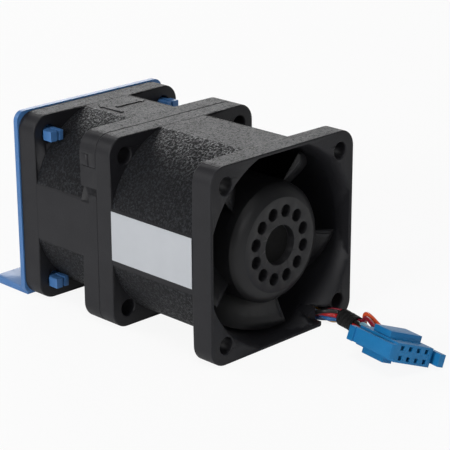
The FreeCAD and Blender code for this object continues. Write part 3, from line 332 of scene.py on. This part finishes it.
print("plastics:", sorted(finishes))

# %% [markdown]
# ## Metals
# Turned and ground metal shows fine rings or lines. A noise that is stretched along one
# direction gives them. The laminated core is a stack of thin sheets, so its lines run
# across the axis and lie 0.35 mm apart.


# %% Metals
def worked_metal(name, dark, light, rough, stretch=(1, 1, 1), grain=0.0002, depth=0.000004):
    """Lines = noise stretched along the tool's path; they vary the gloss and the bump."""
    made = Finish(name, light, Metallic=1.0)
    lines = made.grain(grain, 3, 0.6, stretch=stretch)
    cloud = made.grain(0.003, 3, 0.6)
    made.set("Base Color", made.mix(cloud, dark, light))
    made.set("Roughness", rough + 0.16 * (lines - 0.5) + 0.06 * cloud)
    made.bump(lines, depth, 0.5)
    return made.material


def stacked_sheets(name, dark, light, pitch):
    """Waves along the axis, one for each steel sheet, darken the joints between them."""
    made = Finish(name, light, Metallic=0.9)
    y = made.axes()[1]
    wave = made.node("ShaderNodeMath", {"operation": "SINE"}, {0: y * (2 * math.pi / pitch)})
    joint = wave.above(0.55, 0.5)
    made.set("Base Color", made.mix(joint, light, dark))
    made.set("Roughness", 0.38 + 0.25 * joint)
    made.bump(1 - joint, 0.00002, 0.6)
    return made.material


along_y = (1, 0.05, 1)
finishes["yoke_steel"] = worked_metal("yoke_steel", (0.42, 0.42, 0.43), (0.56, 0.56, 0.57),
                                      0.36, along_y)
finishes["shaft_steel"] = worked_metal("shaft_steel", (0.62, 0.62, 0.63),
                                       (0.74, 0.74, 0.76), 0.18, (0.2, 3, 0.2))
finishes["brass"] = worked_metal("brass", (0.62, 0.44, 0.19), (0.78, 0.60, 0.30), 0.26,
                                 (0.2, 3, 0.2))
finishes["spring_steel"] = worked_metal("spring_steel", (0.45, 0.45, 0.47),
                                        (0.60, 0.60, 0.63), 0.30)
finishes["bearing_steel"] = worked_metal("bearing_steel", (0.60, 0.60, 0.61),
                                         (0.75, 0.75, 0.76), 0.2, (0.3, 2, 0.3))
finishes["shield_steel"] = worked_metal("shield_steel", (0.5, 0.5, 0.51),
                                        (0.65, 0.65, 0.66), 0.34)
finishes["lamination_steel"] = stacked_sheets("lamination_steel", (0.13, 0.13, 0.14),
                                              (0.42, 0.42, 0.44), 0.00035)
finishes["terminal_metal"] = worked_metal("terminal_metal", (0.66, 0.62, 0.52),
                                          (0.84, 0.80, 0.70), 0.24)
print("metals and plastics:", len(finishes))

# %% [markdown]
# ## Copper, board, label and wire
# The windings are turns of enamelled wire, drawn as close ridges. The circuit board is
# green lacquer over copper tracks. The rating label is a satin silver film, left bare.


# %% Windings, board and label
def enamelled_copper():
    """Turns = sine of the distance from the fan's axis, one wave for each 0.32 mm."""
    made = Finish("enamelled_copper", (0.62, 0.26, 0.10), Metallic=0.75)
    x, _, z = made.axes()
    turns = made.node("ShaderNodeMath", {"operation": "SINE"},
                      {0: (x * x + z * z) ** 0.5 * (2 * math.pi / 0.00032)})
    patch = made.grain(0.0012, 2, 0.5)
    made.set("Base Color", made.mix(patch, (0.50, 0.17, 0.06), (0.72, 0.33, 0.13)))
    made.set("Roughness", 0.26 + 0.12 * patch)
    made.bump(turns, 0.00008, 0.8)
    return made.material


def board_laminate():
    made = Finish("board_laminate", (0.03, 0.16, 0.06))
    track = made.grain(0.0016, 1, 0.4, stretch=(1, 0.2, 2.2)).above(0.52, 0.02)
    weave = made.grain(0.0003, 2, 0.5)
    made.set("Base Color", made.mix(track, (0.018, 0.10, 0.04), (0.045, 0.20, 0.075)))
    made.set("Roughness", 0.30 + 0.10 * weave)
    made.bump(track + weave * 0.1, 0.00003, 0.5)
    return made.material


def label_film():
    made = Finish("label_film", (0.60, 0.62, 0.65), Metallic=0.15)
    brushed = made.grain(0.0002, 3, 0.6, stretch=(1, 0.06, 1))
    cloud = made.grain(0.005, 3, 0.55)
    made.set("Base Color", made.mix(cloud, (0.45, 0.47, 0.50), (0.51, 0.53, 0.56)))
    made.set("Roughness", 0.34 + 0.12 * brushed)
    made.bump(brushed + cloud * 3, 0.000006, 0.5)
    return made.material


finishes["enamelled_copper"] = enamelled_copper()
finishes["board_laminate"] = board_laminate()
finishes["label_film"] = label_film()

# %% [markdown]
# Each wire has its own colour of soft plastic, shaded a little so that it isn't flat. The
# three CAD bundles take the colour of the wire that stands in for them.


# %% Wire insulation
def wire_skin(name, color):
    """Smooth plastic that drifts between a colour and 0.72 of it."""
    shade = tuple(0.72 * c for c in color)
    return smooth_plastic(name, shade, color, 0.34, 0.0004, 0.00001, drift=0.002)


wire_colors = {
    "red": (0.50, 0.018, 0.022), "blue": (0.022, 0.14, 0.38), "yellow": (0.72, 0.36, 0.03),
    "black": (0.014, 0.014, 0.014), "orange": (0.78, 0.10, 0.03),
    "dark_red": (0.30, 0.012, 0.03), "pale_blue": (0.20, 0.52, 0.66),
    "dark_blue": (0.012, 0.055, 0.16)}
wire_skins = {name: wire_skin("wire_" + name, c) for name, c in wire_colors.items()}
finishes["front_wire_insulation"] = wire_skins["red"]
finishes["rear_wire_insulation"] = wire_skins["dark_red"]
finishes["plug_wire_insulation"] = wire_skins["orange"]
missing = [m["slot"] for m in record["materials"] if m["slot"] not in finishes]
print("slots with no finish yet:", missing)

# %% [markdown]
# ## Carry over the CAD nodes
# Where the CAD shape is already right, the node stays and only gets its finish. The record
# says which slot each node belongs to, so one pass dresses all of them.

# %% Dress the CAD nodes
slot_of = {part["node"]: part["material_slot"] for part in record["subparts"]}
for name, node in nodes.items():
    node.data.materials.clear()
    node.data.materials.append(finishes[slot_of[name]])
print("dressed", len(slot_of), "nodes")

# %% [markdown]
# ## Softened mouldings
# No moulding has knife edges. CAD leaves them sharp, because small fillets would cost a
# great many faces. A copy of the node's mesh is merged, and joining its flat faces clears
# needless corners from them. A joined face can wrap round a bore with a seam, though, and a
# program that splits it as a fan from one corner would close the bore. So each face of over
# four corners is split into triangles again before the copy is made into a piece.


# %% Copy a moulding
def copied(node, body, angle):
    """A merged copy of a CAD node's mesh, smooth except at edges sharper than the angle."""
    mesh = nodes[node].data.copy()
    mesh.name = node + "_moulded"
    shape = bmesh.new()
    shape.from_mesh(mesh)
    bmesh.ops.remove_doubles(shape, verts=shape.verts, dist=1e-7)
    bmesh.ops.dissolve_limit(shape, angle_limit=math.radians(0.5), verts=shape.verts,
                             edges=shape.edges)
    bmesh.ops.recalc_face_normals(shape, faces=shape.faces)
    bmesh.ops.triangulate(shape, faces=[f for f in shape.faces if len(f.verts) > 4])
    shape.to_mesh(mesh)
    shape.free()
    mesh.set_sharp_from_angle(angle=math.radians(angle))
    mesh.shade_smooth()
    piece = bpy.data.objects.new(node + "_moulded", mesh)
    bpy.context.scene.collection.objects.link(piece)
    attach(piece, body)
    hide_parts(node)
    return piece


# %% [markdown]
# The housings get a round edge only on the rims of their flanges and on the corner holes,
# where it shows. Corner normals are then weighted by area, so the flats stay flat.


# %% Soften chosen edges
half_side, corner_middle, corner_radius = 20.0, 16.3, 3.7
hole_middle, hole_radius = 16.0, 1.75


def edge_ends(mesh):
    """Both ends of every edge, in mm, as an array of edges x 2 x 3."""
    place = np.zeros(len(mesh.vertices) * 3)
    mesh.vertices.foreach_get("co", place)
    ends = np.zeros(len(mesh.edges) * 2, int)
    mesh.edges.foreach_get("vertices", ends)
    return place.reshape(-1, 3)[ends].reshape(-1, 2, 3) / mm


def soften(piece, chosen, width, segments=2):
    """Rounds the chosen edges: their bevel weight is 1, all others keep 0."""
    weight = piece.data.attributes.new("bevel_weight_edge", "FLOAT", "EDGE")
    weight.data.foreach_set("value", chosen.astype(float))
    soft = piece.modifiers.new("soft_edges", "BEVEL")
    soft.width, soft.segments, soft.limit_method = width * mm, segments, "WEIGHT"
    soft.use_clamp_overlap = False
    print(piece.name, "softened edges:", int(chosen.sum()), "of", len(chosen))


def flange_rims(mesh):
    """Edges that lie flat across the axis, on the square outline with its round corners or
    round a corner hole, away from the small latch details."""
    ends = edge_ends(mesh)
    x, y, z = np.abs(ends[..., 0]), ends[..., 1], np.abs(ends[..., 2])
    past_x, past_z = (np.maximum(v - corner_middle, 0) for v in (x, z))
    outline = ((np.maximum(x, z) > half_side - 0.03)
               | (np.hypot(past_x, past_z) > corner_radius - 0.04))
    hole = np.abs(np.hypot(x - hole_middle, z - hole_middle) - hole_radius) < 0.02
    level = np.abs(y[:, 0] - y[:, 1]) < 0.005
    latch = (x > 17) & (ends[..., 2] > 5.2) & (ends[..., 2] < 16.3) & (y > 32.3) & (y < 37.1)
    return level & (outline.all(1) | hole.all(1)) & ~latch.any(1)


front_shell = copied("front_housing", "frame", 38)
rear_shell = copied("rear_housing", "frame", 38)
for shell in (front_shell, rear_shell):
    soften(shell, flange_rims(shell.data), 0.2)
    flat = shell.modifiers.new("flat_faces_stay_flat", "WEIGHTED_NORMAL")
    flat.keep_sharp, flat.weight = True, 90

# %% [markdown]
# The guard, the plug and the impellers have small, even details, so every sharp edge of
# theirs gets the same narrow bevel, which Blender keeps narrower where there is no room.


# %% Soften every sharp edge
def soften_all(piece, width, angle):
    """Bevels each edge that is sharper than the angle, in degrees; the width is in mm."""
    soft = piece.modifiers.new("soft_edges", "BEVEL")
    soft.width, soft.segments, soft.limit_method = width * mm, 2, "ANGLE"
    soft.angle_limit = math.radians(angle)
    soft.use_clamp_overlap = True
    return piece


soften_all(copied("rear_guard", "frame", 38), 0.12, 38)
soften_all(copied("plug_housing", "frame", 38), 0.12, 38)
front_fan = soften_all(copied("front_impeller", "front_rotor", 26), 0.12, 26)
soften_all(copied("rear_impeller", "rear_rotor", 26), 0.12, 26)
print("impellers, guard and plug are softened")

# %% [markdown]
# The front blades of the real fan reach a little further forward than the CAD blades do. The
# copy's blades are bent forward by up to 1.3 mm: not at all at the hub, most a little inside
# the tip, and less again at the tip's front corner, which rounds it.


# %% Reach of the front blades
def reach_forward(piece, by, hub, most, tip, deep):
    """Move in mm = by * out * (1 - drop) * fade. out = 0 at the radius hub, 1 at most. drop =
    0.9 * corner * the square of the way from most to tip; corner = 1 up to a depth of 4, 0
    from 9. fade = the square root of 1 - depth / deep."""
    place = np.zeros(len(piece.data.vertices) * 3)
    piece.data.vertices.foreach_get("co", place)
    place = place.reshape(-1, 3) / mm
    radius = np.hypot(place[:, 0], place[:, 2])
    out = np.clip((radius - hub) / (most - hub), 0, 1)
    corner = np.clip((9 - place[:, 1]) / 5, 0, 1)
    drop = 0.9 * corner * np.clip((radius - most) / (tip - most), 0, 1) ** 2
    fade = np.clip(1 - place[:, 1] / deep, 0, 1) ** 0.5
    place[:, 1] -= by * out * (1 - drop) * fade
    piece.data.vertices.foreach_set("co", (place * mm).ravel())
    piece.data.update()


reach_forward(front_fan, by=1.5, hub=12.5, most=16.5, tip=18.8, deep=21.0)
print("the front blades reach forward")

# %% [markdown]
# The bevels may join faces at their corners into ones of more than four corners again. The
# last modifier splits those too, with their shape and normals kept.


# %% Split what the bevels leave
def split_wrapped_faces(piece):
    """Splits every face of five corners or more into triangles, without moving a corner."""
    split = piece.modifiers.new("split_wrapped_faces", "TRIANGULATE")
    split.min_vertices = 5
    split.keep_custom_normals = True


mouldings = [o for o in bpy.data.objects if o.name.endswith("_moulded")]
for moulding in mouldings:
    split_wrapped_faces(moulding)
print("moulded copies:", [o.name for o in mouldings])

# %% [markdown]
# ## Wires
# Eight wires leave the two motors, four from each board. They run forward outside the duct,
# squeeze through the notch in the front flange, and share one sleeve on their way to the
# plug. A wire is a smooth NURBS curve with a round bevel. Its few control points come from
# the boards, the notch, the sleeve and the plug, and neighbours differ a little, as wires do.

# %% Places that the wires pass
wire_radius = 0.47
strut_angle = math.radians(-57.0)
outward = np.array([math.cos(strut_angle), 0, math.sin(strut_angle)])
sideways = np.array([-math.sin(strut_angle), 0, math.cos(strut_angle)])
sleeve_start = np.array([14.25, -3.1, -18.15])
sleeve_bend = np.array([13.75, -5.8, -18.15])
sleeve_stop = np.array([12.9, -8.2, -18.15])
plug_place = np.array([5.2, -28.5, -15.9])


def turned_about(axis, degrees):
    """Rodrigues' rotation matrix: identity + sin * cross + (1 - cos) * cross squared."""
    x, y, z = axis
    cross = np.array([[0, -z, y], [z, 0, -x], [-y, x, 0]])
    a = math.radians(degrees)
    return np.eye(3) + math.sin(a) * cross + (1 - math.cos(a)) * cross @ cross


plug_turn = (turned_about((0, 0, 1), -14.0) @ turned_about((1, 0, 0), 90.0)
             @ turned_about((1, 0, 0), -3.0) @ turned_about((0, 0, 1), -20.0))


def in_plug(x, y, z):
    """A point of the plug: x across, y up, z out of its mating face."""
    return plug_place + plug_turn @ np.array([x, y, z])


print("plug's back at", np.round(in_plug(0, 0, -12), 2))


# %% [markdown]
# A wire is a NURBS curve of order 3, so it passes near its points without a kink, and its
# round bevel has flat caps at both ends.


# %% A wire
def wire(name, points, skin):
    """A round wire that rides on the frame; its points are in mm."""
    points = np.asarray(points, float) * mm
    curve = bpy.data.curves.new(name, "CURVE")
    curve.dimensions = "3D"
    line = curve.splines.new("NURBS")
    line.points.add(len(points) - 1)
    line.points.foreach_set("co", np.c_[points, np.ones(len(points))].ravel())
    line.order_u, line.use_endpoint_u, line.resolution_u = 3, True, 10
    curve.bevel_depth, curve.bevel_resolution = wire_radius * mm, 4
    curve.use_fill_caps = True
    curve.materials.append(skin)
    piece = bpy.data.objects.new(name, curve)
    bpy.context.scene.collection.objects.link(piece)
    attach(piece, "frame")
    return piece


# %% [markdown]
# In the sleeve one wire runs in the middle and seven round it. At the notch they fan out:
# the front motor's wires go through black, red, blue and yellow from the top down. One wire
# stands in for each of the three CAD bundles.

# %% Lay the eight wires
ring = np.radians(np.arange(7) * 360 / 7 + 12)
packed = np.r_[[[0.0, 0.0]], 1.08 * np.c_[np.cos(ring), np.sin(ring)]]
heading = (sleeve_stop - sleeve_start) / np.linalg.norm(sleeve_stop - sleeve_start)
beside = np.cross([0, 0, 1], heading)
lay = [  # color, motor, place across its row, notch point, place in the sleeve, contact
    ("black", "front", 0, (12.2, -0.2, -16.85), 3, (2, 0)),
    ("red", "front", 1, (12.5, -0.5, -17.70), 4, (3, 0)),
    ("blue", "front", 2, (12.3, -0.6, -18.65), 5, (0, 0)),
    ("yellow", "front", 3, (13.3, -0.4, -19.35), 6, (1, 0)),
    ("dark_blue", "rear", 0, (14.2, 0.0, -19.25), 7, (0, 1)),
    ("dark_red", "rear", 1, (13.25, -0.1, -16.95), 2, (2, 1)),
    ("pale_blue", "rear", 2, (13.4, -0.2, -18.10), 0, (1, 1)),
    ("orange", "rear", 3, (14.35, 0.1, -17.90), 1, (3, 1))]


def lead_route(motor, across, notch, spot, contact):
    """From a board, through the duct wall, along the duct, out of the notch, through the
    sleeve and into the plug."""
    away, row = (27.2, -18.35) if motor == "front" else (37.3, -19.4)
    aside = (across - 1.5) * 0.96
    start = outward * 12.6 + sideways * aside
    wall = outward * 20.4 + sideways * aside
    run = 13.15 + aside
    inside = packed[spot][0] * beside + packed[spot][1] * np.array([0, 0, 1.0])
    column, level = contact
    local = (2 * (column - 1.5), 2 * level - 1)
    points = [start + (0, away, 0), wall + (0, away, 0), (run, away - 0.3, row),
              (run, away - 2.6, row), (run, 15.0, row), (run, 6.6, row),
              (0.7 * run + 0.3 * notch[0], 2.6, row + 0.15 * (notch[2] - row)), notch,
              sleeve_start - heading * 1.1 + inside * 0.9, sleeve_start + inside,
              sleeve_bend + inside, sleeve_stop + inside, sleeve_stop + heading * 1.0 + inside]
    return points, local


# where along the open stretch a wire arches highest, and how far it rises there
arches = {"orange": (-0.05, 3.4), "dark_red": (0.25, 1.9), "pale_blue": (0.25, 1.1),
          "dark_blue": (0.20, 0.7), "red": (0.45, 1.0)}
for color, motor, across, notch, spot, contact in lay:
    points, local = lead_route(motor, across, notch, spot, contact)
    back = in_plug(*local, -13.4)
    place, rise = arches.get(color, (0.5, 0.3))
    points += [(1 - place) * points[-1] + place * back + (0.0, 0.0, rise), back,
               in_plug(*local, -11.2)]
    wire("wire_" + color, points, wire_skins[color])
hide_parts("front_leads")
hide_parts("rear_leads")
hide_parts("plug_wires")

# %% [markdown]
# ## Sleeve
# A short black sleeve holds the wires together. It is soft, so it wrinkles across its
# length and its ends are a little wider. The surface is a tube round a bending line: one
# parameter goes round it, the other out along the outside and back along the inside.


# %% Surfaces on a grid
def grid_piece(name, points, material, body, closed_u=False, closed_v=False):
    """A mesh from a grid of points, with its ends joined where a direction closes."""
    n, m = points.shape[:2]
    i, j = np.meshgrid(np.arange(n if closed_u else n - 1),
                       np.arange(m if closed_v else m - 1), indexing="ij")
    i, j = i.ravel(), j.ravel()
    i2, j2 = (i + 1) % n, (j + 1) % m
    quads = np.stack((i * m + j, i2 * m + j, i2 * m + j2, i * m + j2), 1)
    mesh = bpy.data.meshes.new(name)
    mesh.from_pydata((points.reshape(-1, 3) * mm).tolist(), [], quads.tolist())
    mesh.materials.append(material)
    mesh.shade_smooth()
    piece = bpy.data.objects.new(name, mesh)
    bpy.context.scene.collection.objects.link(piece)
    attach(piece, body)
    return piece


# %% [markdown]
# The sleeve's own shape is a tube whose radius carries the wrinkles. Both sines come back
# to the same value after a full turn, so the tube closes without a step.


# %% The sleeve
def sleeve(name, start, bend, stop, outer, wall):
    """Centre line: the parabola start, bend, stop. Radius: the outer radius, less shallow
    wrinkles that go as the sine of the place along it, plus a slight flare at both ends."""
    along = np.linspace(0, 1, 60)
    s = np.r_[along, along[::-1]]
    inner = np.r_[np.zeros(60), np.ones(60)]
    turn = np.linspace(0, 2 * np.pi, 48, endpoint=False)
    s, turn = np.meshgrid(s, turn, indexing="ij")
    inner = np.broadcast_to(inner[:, None], s.shape)
    line = ((1 - s) ** 2)[..., None] * start + (2 * s * (1 - s))[..., None] * bend + (
        s ** 2)[..., None] * stop
    ahead = (2 * (1 - s))[..., None] * (bend - start) + (2 * s)[..., None] * (stop - bend)
    ahead /= np.linalg.norm(ahead, axis=-1, keepdims=True)
    side = np.cross([0, 0, 1.0], ahead)
    wrinkle = 0.045 * np.sin(2 * np.pi * 7 * s + 0.8 * np.sin(turn)) + 0.03 * np.sin(
        2 * np.pi * 11 * s + 2 * turn)
    flare = 0.05 * (np.abs(2 * s - 1) ** 6)
    radius = outer - 0.13 + wrinkle + flare - wall * inner
    return grid_piece(name, line + radius[..., None] * (
        np.cos(turn)[..., None] * side + np.sin(turn)[..., None] * np.array([0, 0, 1.0])),
        finishes["sleeve_plastic"], "frame", True, True)


harness = sleeve("harness_sleeve_wrinkled", sleeve_start, sleeve_bend, sleeve_stop, 1.85, 0.2)
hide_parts("harness_sleeve")
print("sleeve vertices:", len(harness.data.vertices))

# %% [markdown]
# ## Air-flow arrows
# Fan makers mould small raised arrows beside each other on the duct: one points the way
# the air goes, the other the way the blades turn. Both are prisms 0.12 mm high on the top
# flat of the rear duct, cut from the same outline: a shaft and a head.


# %% A prism
def prism(name, outline, low, high, axis, slot, body="frame"):
    """A closed solid between two flat copies of an outline, in mm: the outline's points
    (a, b) lie across the given axis (0 x, 1 y, 2 z), and low and high lie along it."""
    outline = np.asarray(outline, float)
    n = len(outline)
    ends = [np.insert(outline, axis, at, axis=1) for at in (low, high)]
    a, b = np.roll(outline, -1, 0), outline
    turn = np.sum(b[:, 0] * a[:, 1] - a[:, 0] * b[:, 1])
    ring = list(range(n)) if (turn > 0) == (axis != 1) else list(range(n))[::-1]
    faces = [ring[::-1], [n + i for i in ring]]
    faces += [[ring[i], ring[(i + 1) % n], n + ring[(i + 1) % n], n + ring[i]]
              for i in range(n)]
    mesh = bpy.data.meshes.new(name)
    mesh.from_pydata((np.concatenate(ends) * mm).tolist(), [], faces)
    mesh.materials.append(finishes[slot])
    piece = bpy.data.objects.new(name, mesh)
    bpy.context.scene.collection.objects.link(piece)
    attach(piece, body)
    return piece


# %% [markdown]
# An arrow has seven corners: two at the tail, two at the neck, two barbs and the tip.


# %% The arrows
def arrow(name, tail, tip, z, width=0.7, head=1.9, head_length=1.7, height=0.12):
    """Outline in mm: along = unit vector from tail to tip, across = along turned by 90
    degrees; half the width for the shaft, half of head for the barbs."""
    tail, tip = np.array(tail), np.array(tip)
    along = (tip - tail) / np.linalg.norm(tip - tail)
    across = np.array([-along[1], along[0]])
    neck = tip - along * head_length
    outline = [tail - across * width / 2, neck - across * width / 2,
               neck - across * head / 2, tip, neck + across * head / 2,
               neck + across * width / 2, tail + across * width / 2]
    return prism(name, outline, z - 0.05, z + height, 2, "housing_plastic")


arrow("flow_arrow", (-4.4, 41.5), (-4.4, 49.0), 20.0)
arrow("turn_arrow", (-2.5, 45.5), (5.5, 45.5), 20.0)

# %% [markdown]
# ## Web beside the notch
# The wire notch comes close to the bell mouth. A small web of the flange stands between
# them and hides the wires in the notch from the duct. Its inner side follows the bore.

# %% The web
bore = 19.55
foot, notch_side, notch_top = -19.3, 11.0, -16.28
arc = np.radians(np.linspace(-56.4, -63.5, 8))
web = np.r_[bore * np.c_[np.cos(arc), np.sin(arc)],
            [[8.8, foot], [notch_side, foot], [notch_side, notch_top]]]
prism("notch_web", web, 1.5, 4.95, 1, "housing_plastic")
print("web corners:", len(web))

# %% [markdown]
# ## Stage
# The floor is a wide pale sheet. The camera sees it as nine parts white light and one part
# paper, so it is near white and still holds a faint shadow. Plastic that mirrors it sees
# mostly the paper.


# %% Floor
def floor_sheet(half, z, cells=8):
    """A flat square grid at one height: x and y run from -half to half."""
    side = np.linspace(-half, half, cells + 1)
    x, y = np.meshgrid(side, side, indexing="ij")
    points = np.stack((x, y, np.full_like(x, z)), -1).reshape(-1, 3)
    i, j = np.meshgrid(np.arange(cells), np.arange(cells), indexing="ij")
    row = cells + 1
    a = (i * row + j).ravel()
    faces = np.stack((a, a + row, a + row + 1, a + 1), 1)
    mesh = bpy.data.meshes.new("floor")
    mesh.from_pydata(points.tolist(), [], faces.tolist())
    sheet = bpy.data.objects.new("floor", mesh)
    bpy.context.scene.collection.objects.link(sheet)
    return sheet


paper = Finish("paper_floor", (0.88, 0.88, 0.88), Roughness=0.9, Specular_IOR_Level=0.1)
seen = paper.node("ShaderNodeLightPath", output="Is Camera Ray")
mirrored = paper.node("ShaderNodeLightPath", output="Is Glossy Ray")
through = paper.node("ShaderNodeLightPath", output="Is Transmission Ray")
lit = paper.node("ShaderNodeEmission", {}, {"Color": (1, 1, 1, 1), "Strength": 1.0})
pale = paper.node("ShaderNodeMixShader", {}, {
    0: seen * 0.90 + (mirrored + through) * 0.2, 1: paper.surface, 2: lit})
paper.show(pale)

floor = floor_sheet(3.0, cad_box[0].z - 0.00002)
floor.data.materials.append(paper.material)
print("floor at z =", round(floor.data.vertices[0].co.z / mm, 3), "mm")

# %% [markdown]
# The camera sees a white room. For what the plastic mirrors, only a backdrop on the far right
# is white, up to a steep angle, and the rest is dark, which keeps black plastic black. Soft
# light from all sides is weak, so five soft boxes shape the object: one above, one in front,
# one on the left and two behind, left and right.

# %% World and lamps
world = bpy.data.worlds.new("room")
bpy.context.scene.world = world
world.use_nodes = True
sky = Graph(world.node_tree)
turned_to = sky.node("ShaderNodeTexCoord", output="Generated")


def from_room(direction, low, high, bottom, top):
    """Strength that goes smoothly from bottom to top as the view turns to a direction."""
    facing = sky.node("ShaderNodeVectorMath", {"operation": "DOT_PRODUCT"},
                      {0: turned_to, 1: direction}, "Value")
    return sky.node("ShaderNodeMapRange", {"interpolation_type": "SMOOTHSTEP"}, {
        "Value": facing, "From Min": low, "From Max": high, "To Min": bottom, "To Max": top})


# the first factor picks the backdrop's side of the room, the second dims it above
mirror_room = (from_room((0.71, 0.70, 0.0), 0.30, 0.80, 0.10, 1.0)
               * from_room((0.0, 0.0, 1.0), 0.40, 0.70, 1.0, 0.05))
seen = sky.node("ShaderNodeLightPath", output="Is Camera Ray")
mirrored = sky.node("ShaderNodeLightPath", output="Is Glossy Ray")
through = sky.node("ShaderNodeLightPath", output="Is Transmission Ray")
soft_light = 0.20
strength = (seen + through + mirrored * mirror_room
            + (1 - seen - through - mirrored) * soft_light)
room = sky.node("ShaderNodeBackground", {}, {"Strength": strength})
sky.node("ShaderNodeOutputWorld", {}, {0: room}, None)


aim = Vector((0, 0.03, 0))


def soft_box(name, place, size, power):
    """A rectangular area lamp, in metres and watts, aimed at the module's middle."""
    lamp = bpy.data.lights.new(name, "AREA")
    lamp.shape, lamp.size, lamp.size_y = "RECTANGLE", size[0], size[1]
    lamp.energy = power
    box = bpy.data.objects.new(name, lamp)
    box.location = place
    box.rotation_euler = (aim - Vector(place)).to_track_quat("-Z", "Y").to_euler()
    bpy.context.scene.collection.objects.link(box)


soft_box("top_box", (-0.24, -0.20, 0.95), (0.4, 0.4), 2.6)
soft_box("front_box", (-0.35, -0.85, 0.45), (0.3, 0.3), 1.2)
soft_box("rim_box", (-0.60, 0.80, 0.55), (0.3, 0.3), 1.8)
soft_box("left_box", (-0.95, -0.05, 0.30), (0.4, 0.3), 5.2)
soft_box("back_box", (0.55, 0.70, 0.40), (0.5, 0.3), 2.6)
bpy.context.scene.view_settings.view_transform = "Standard"
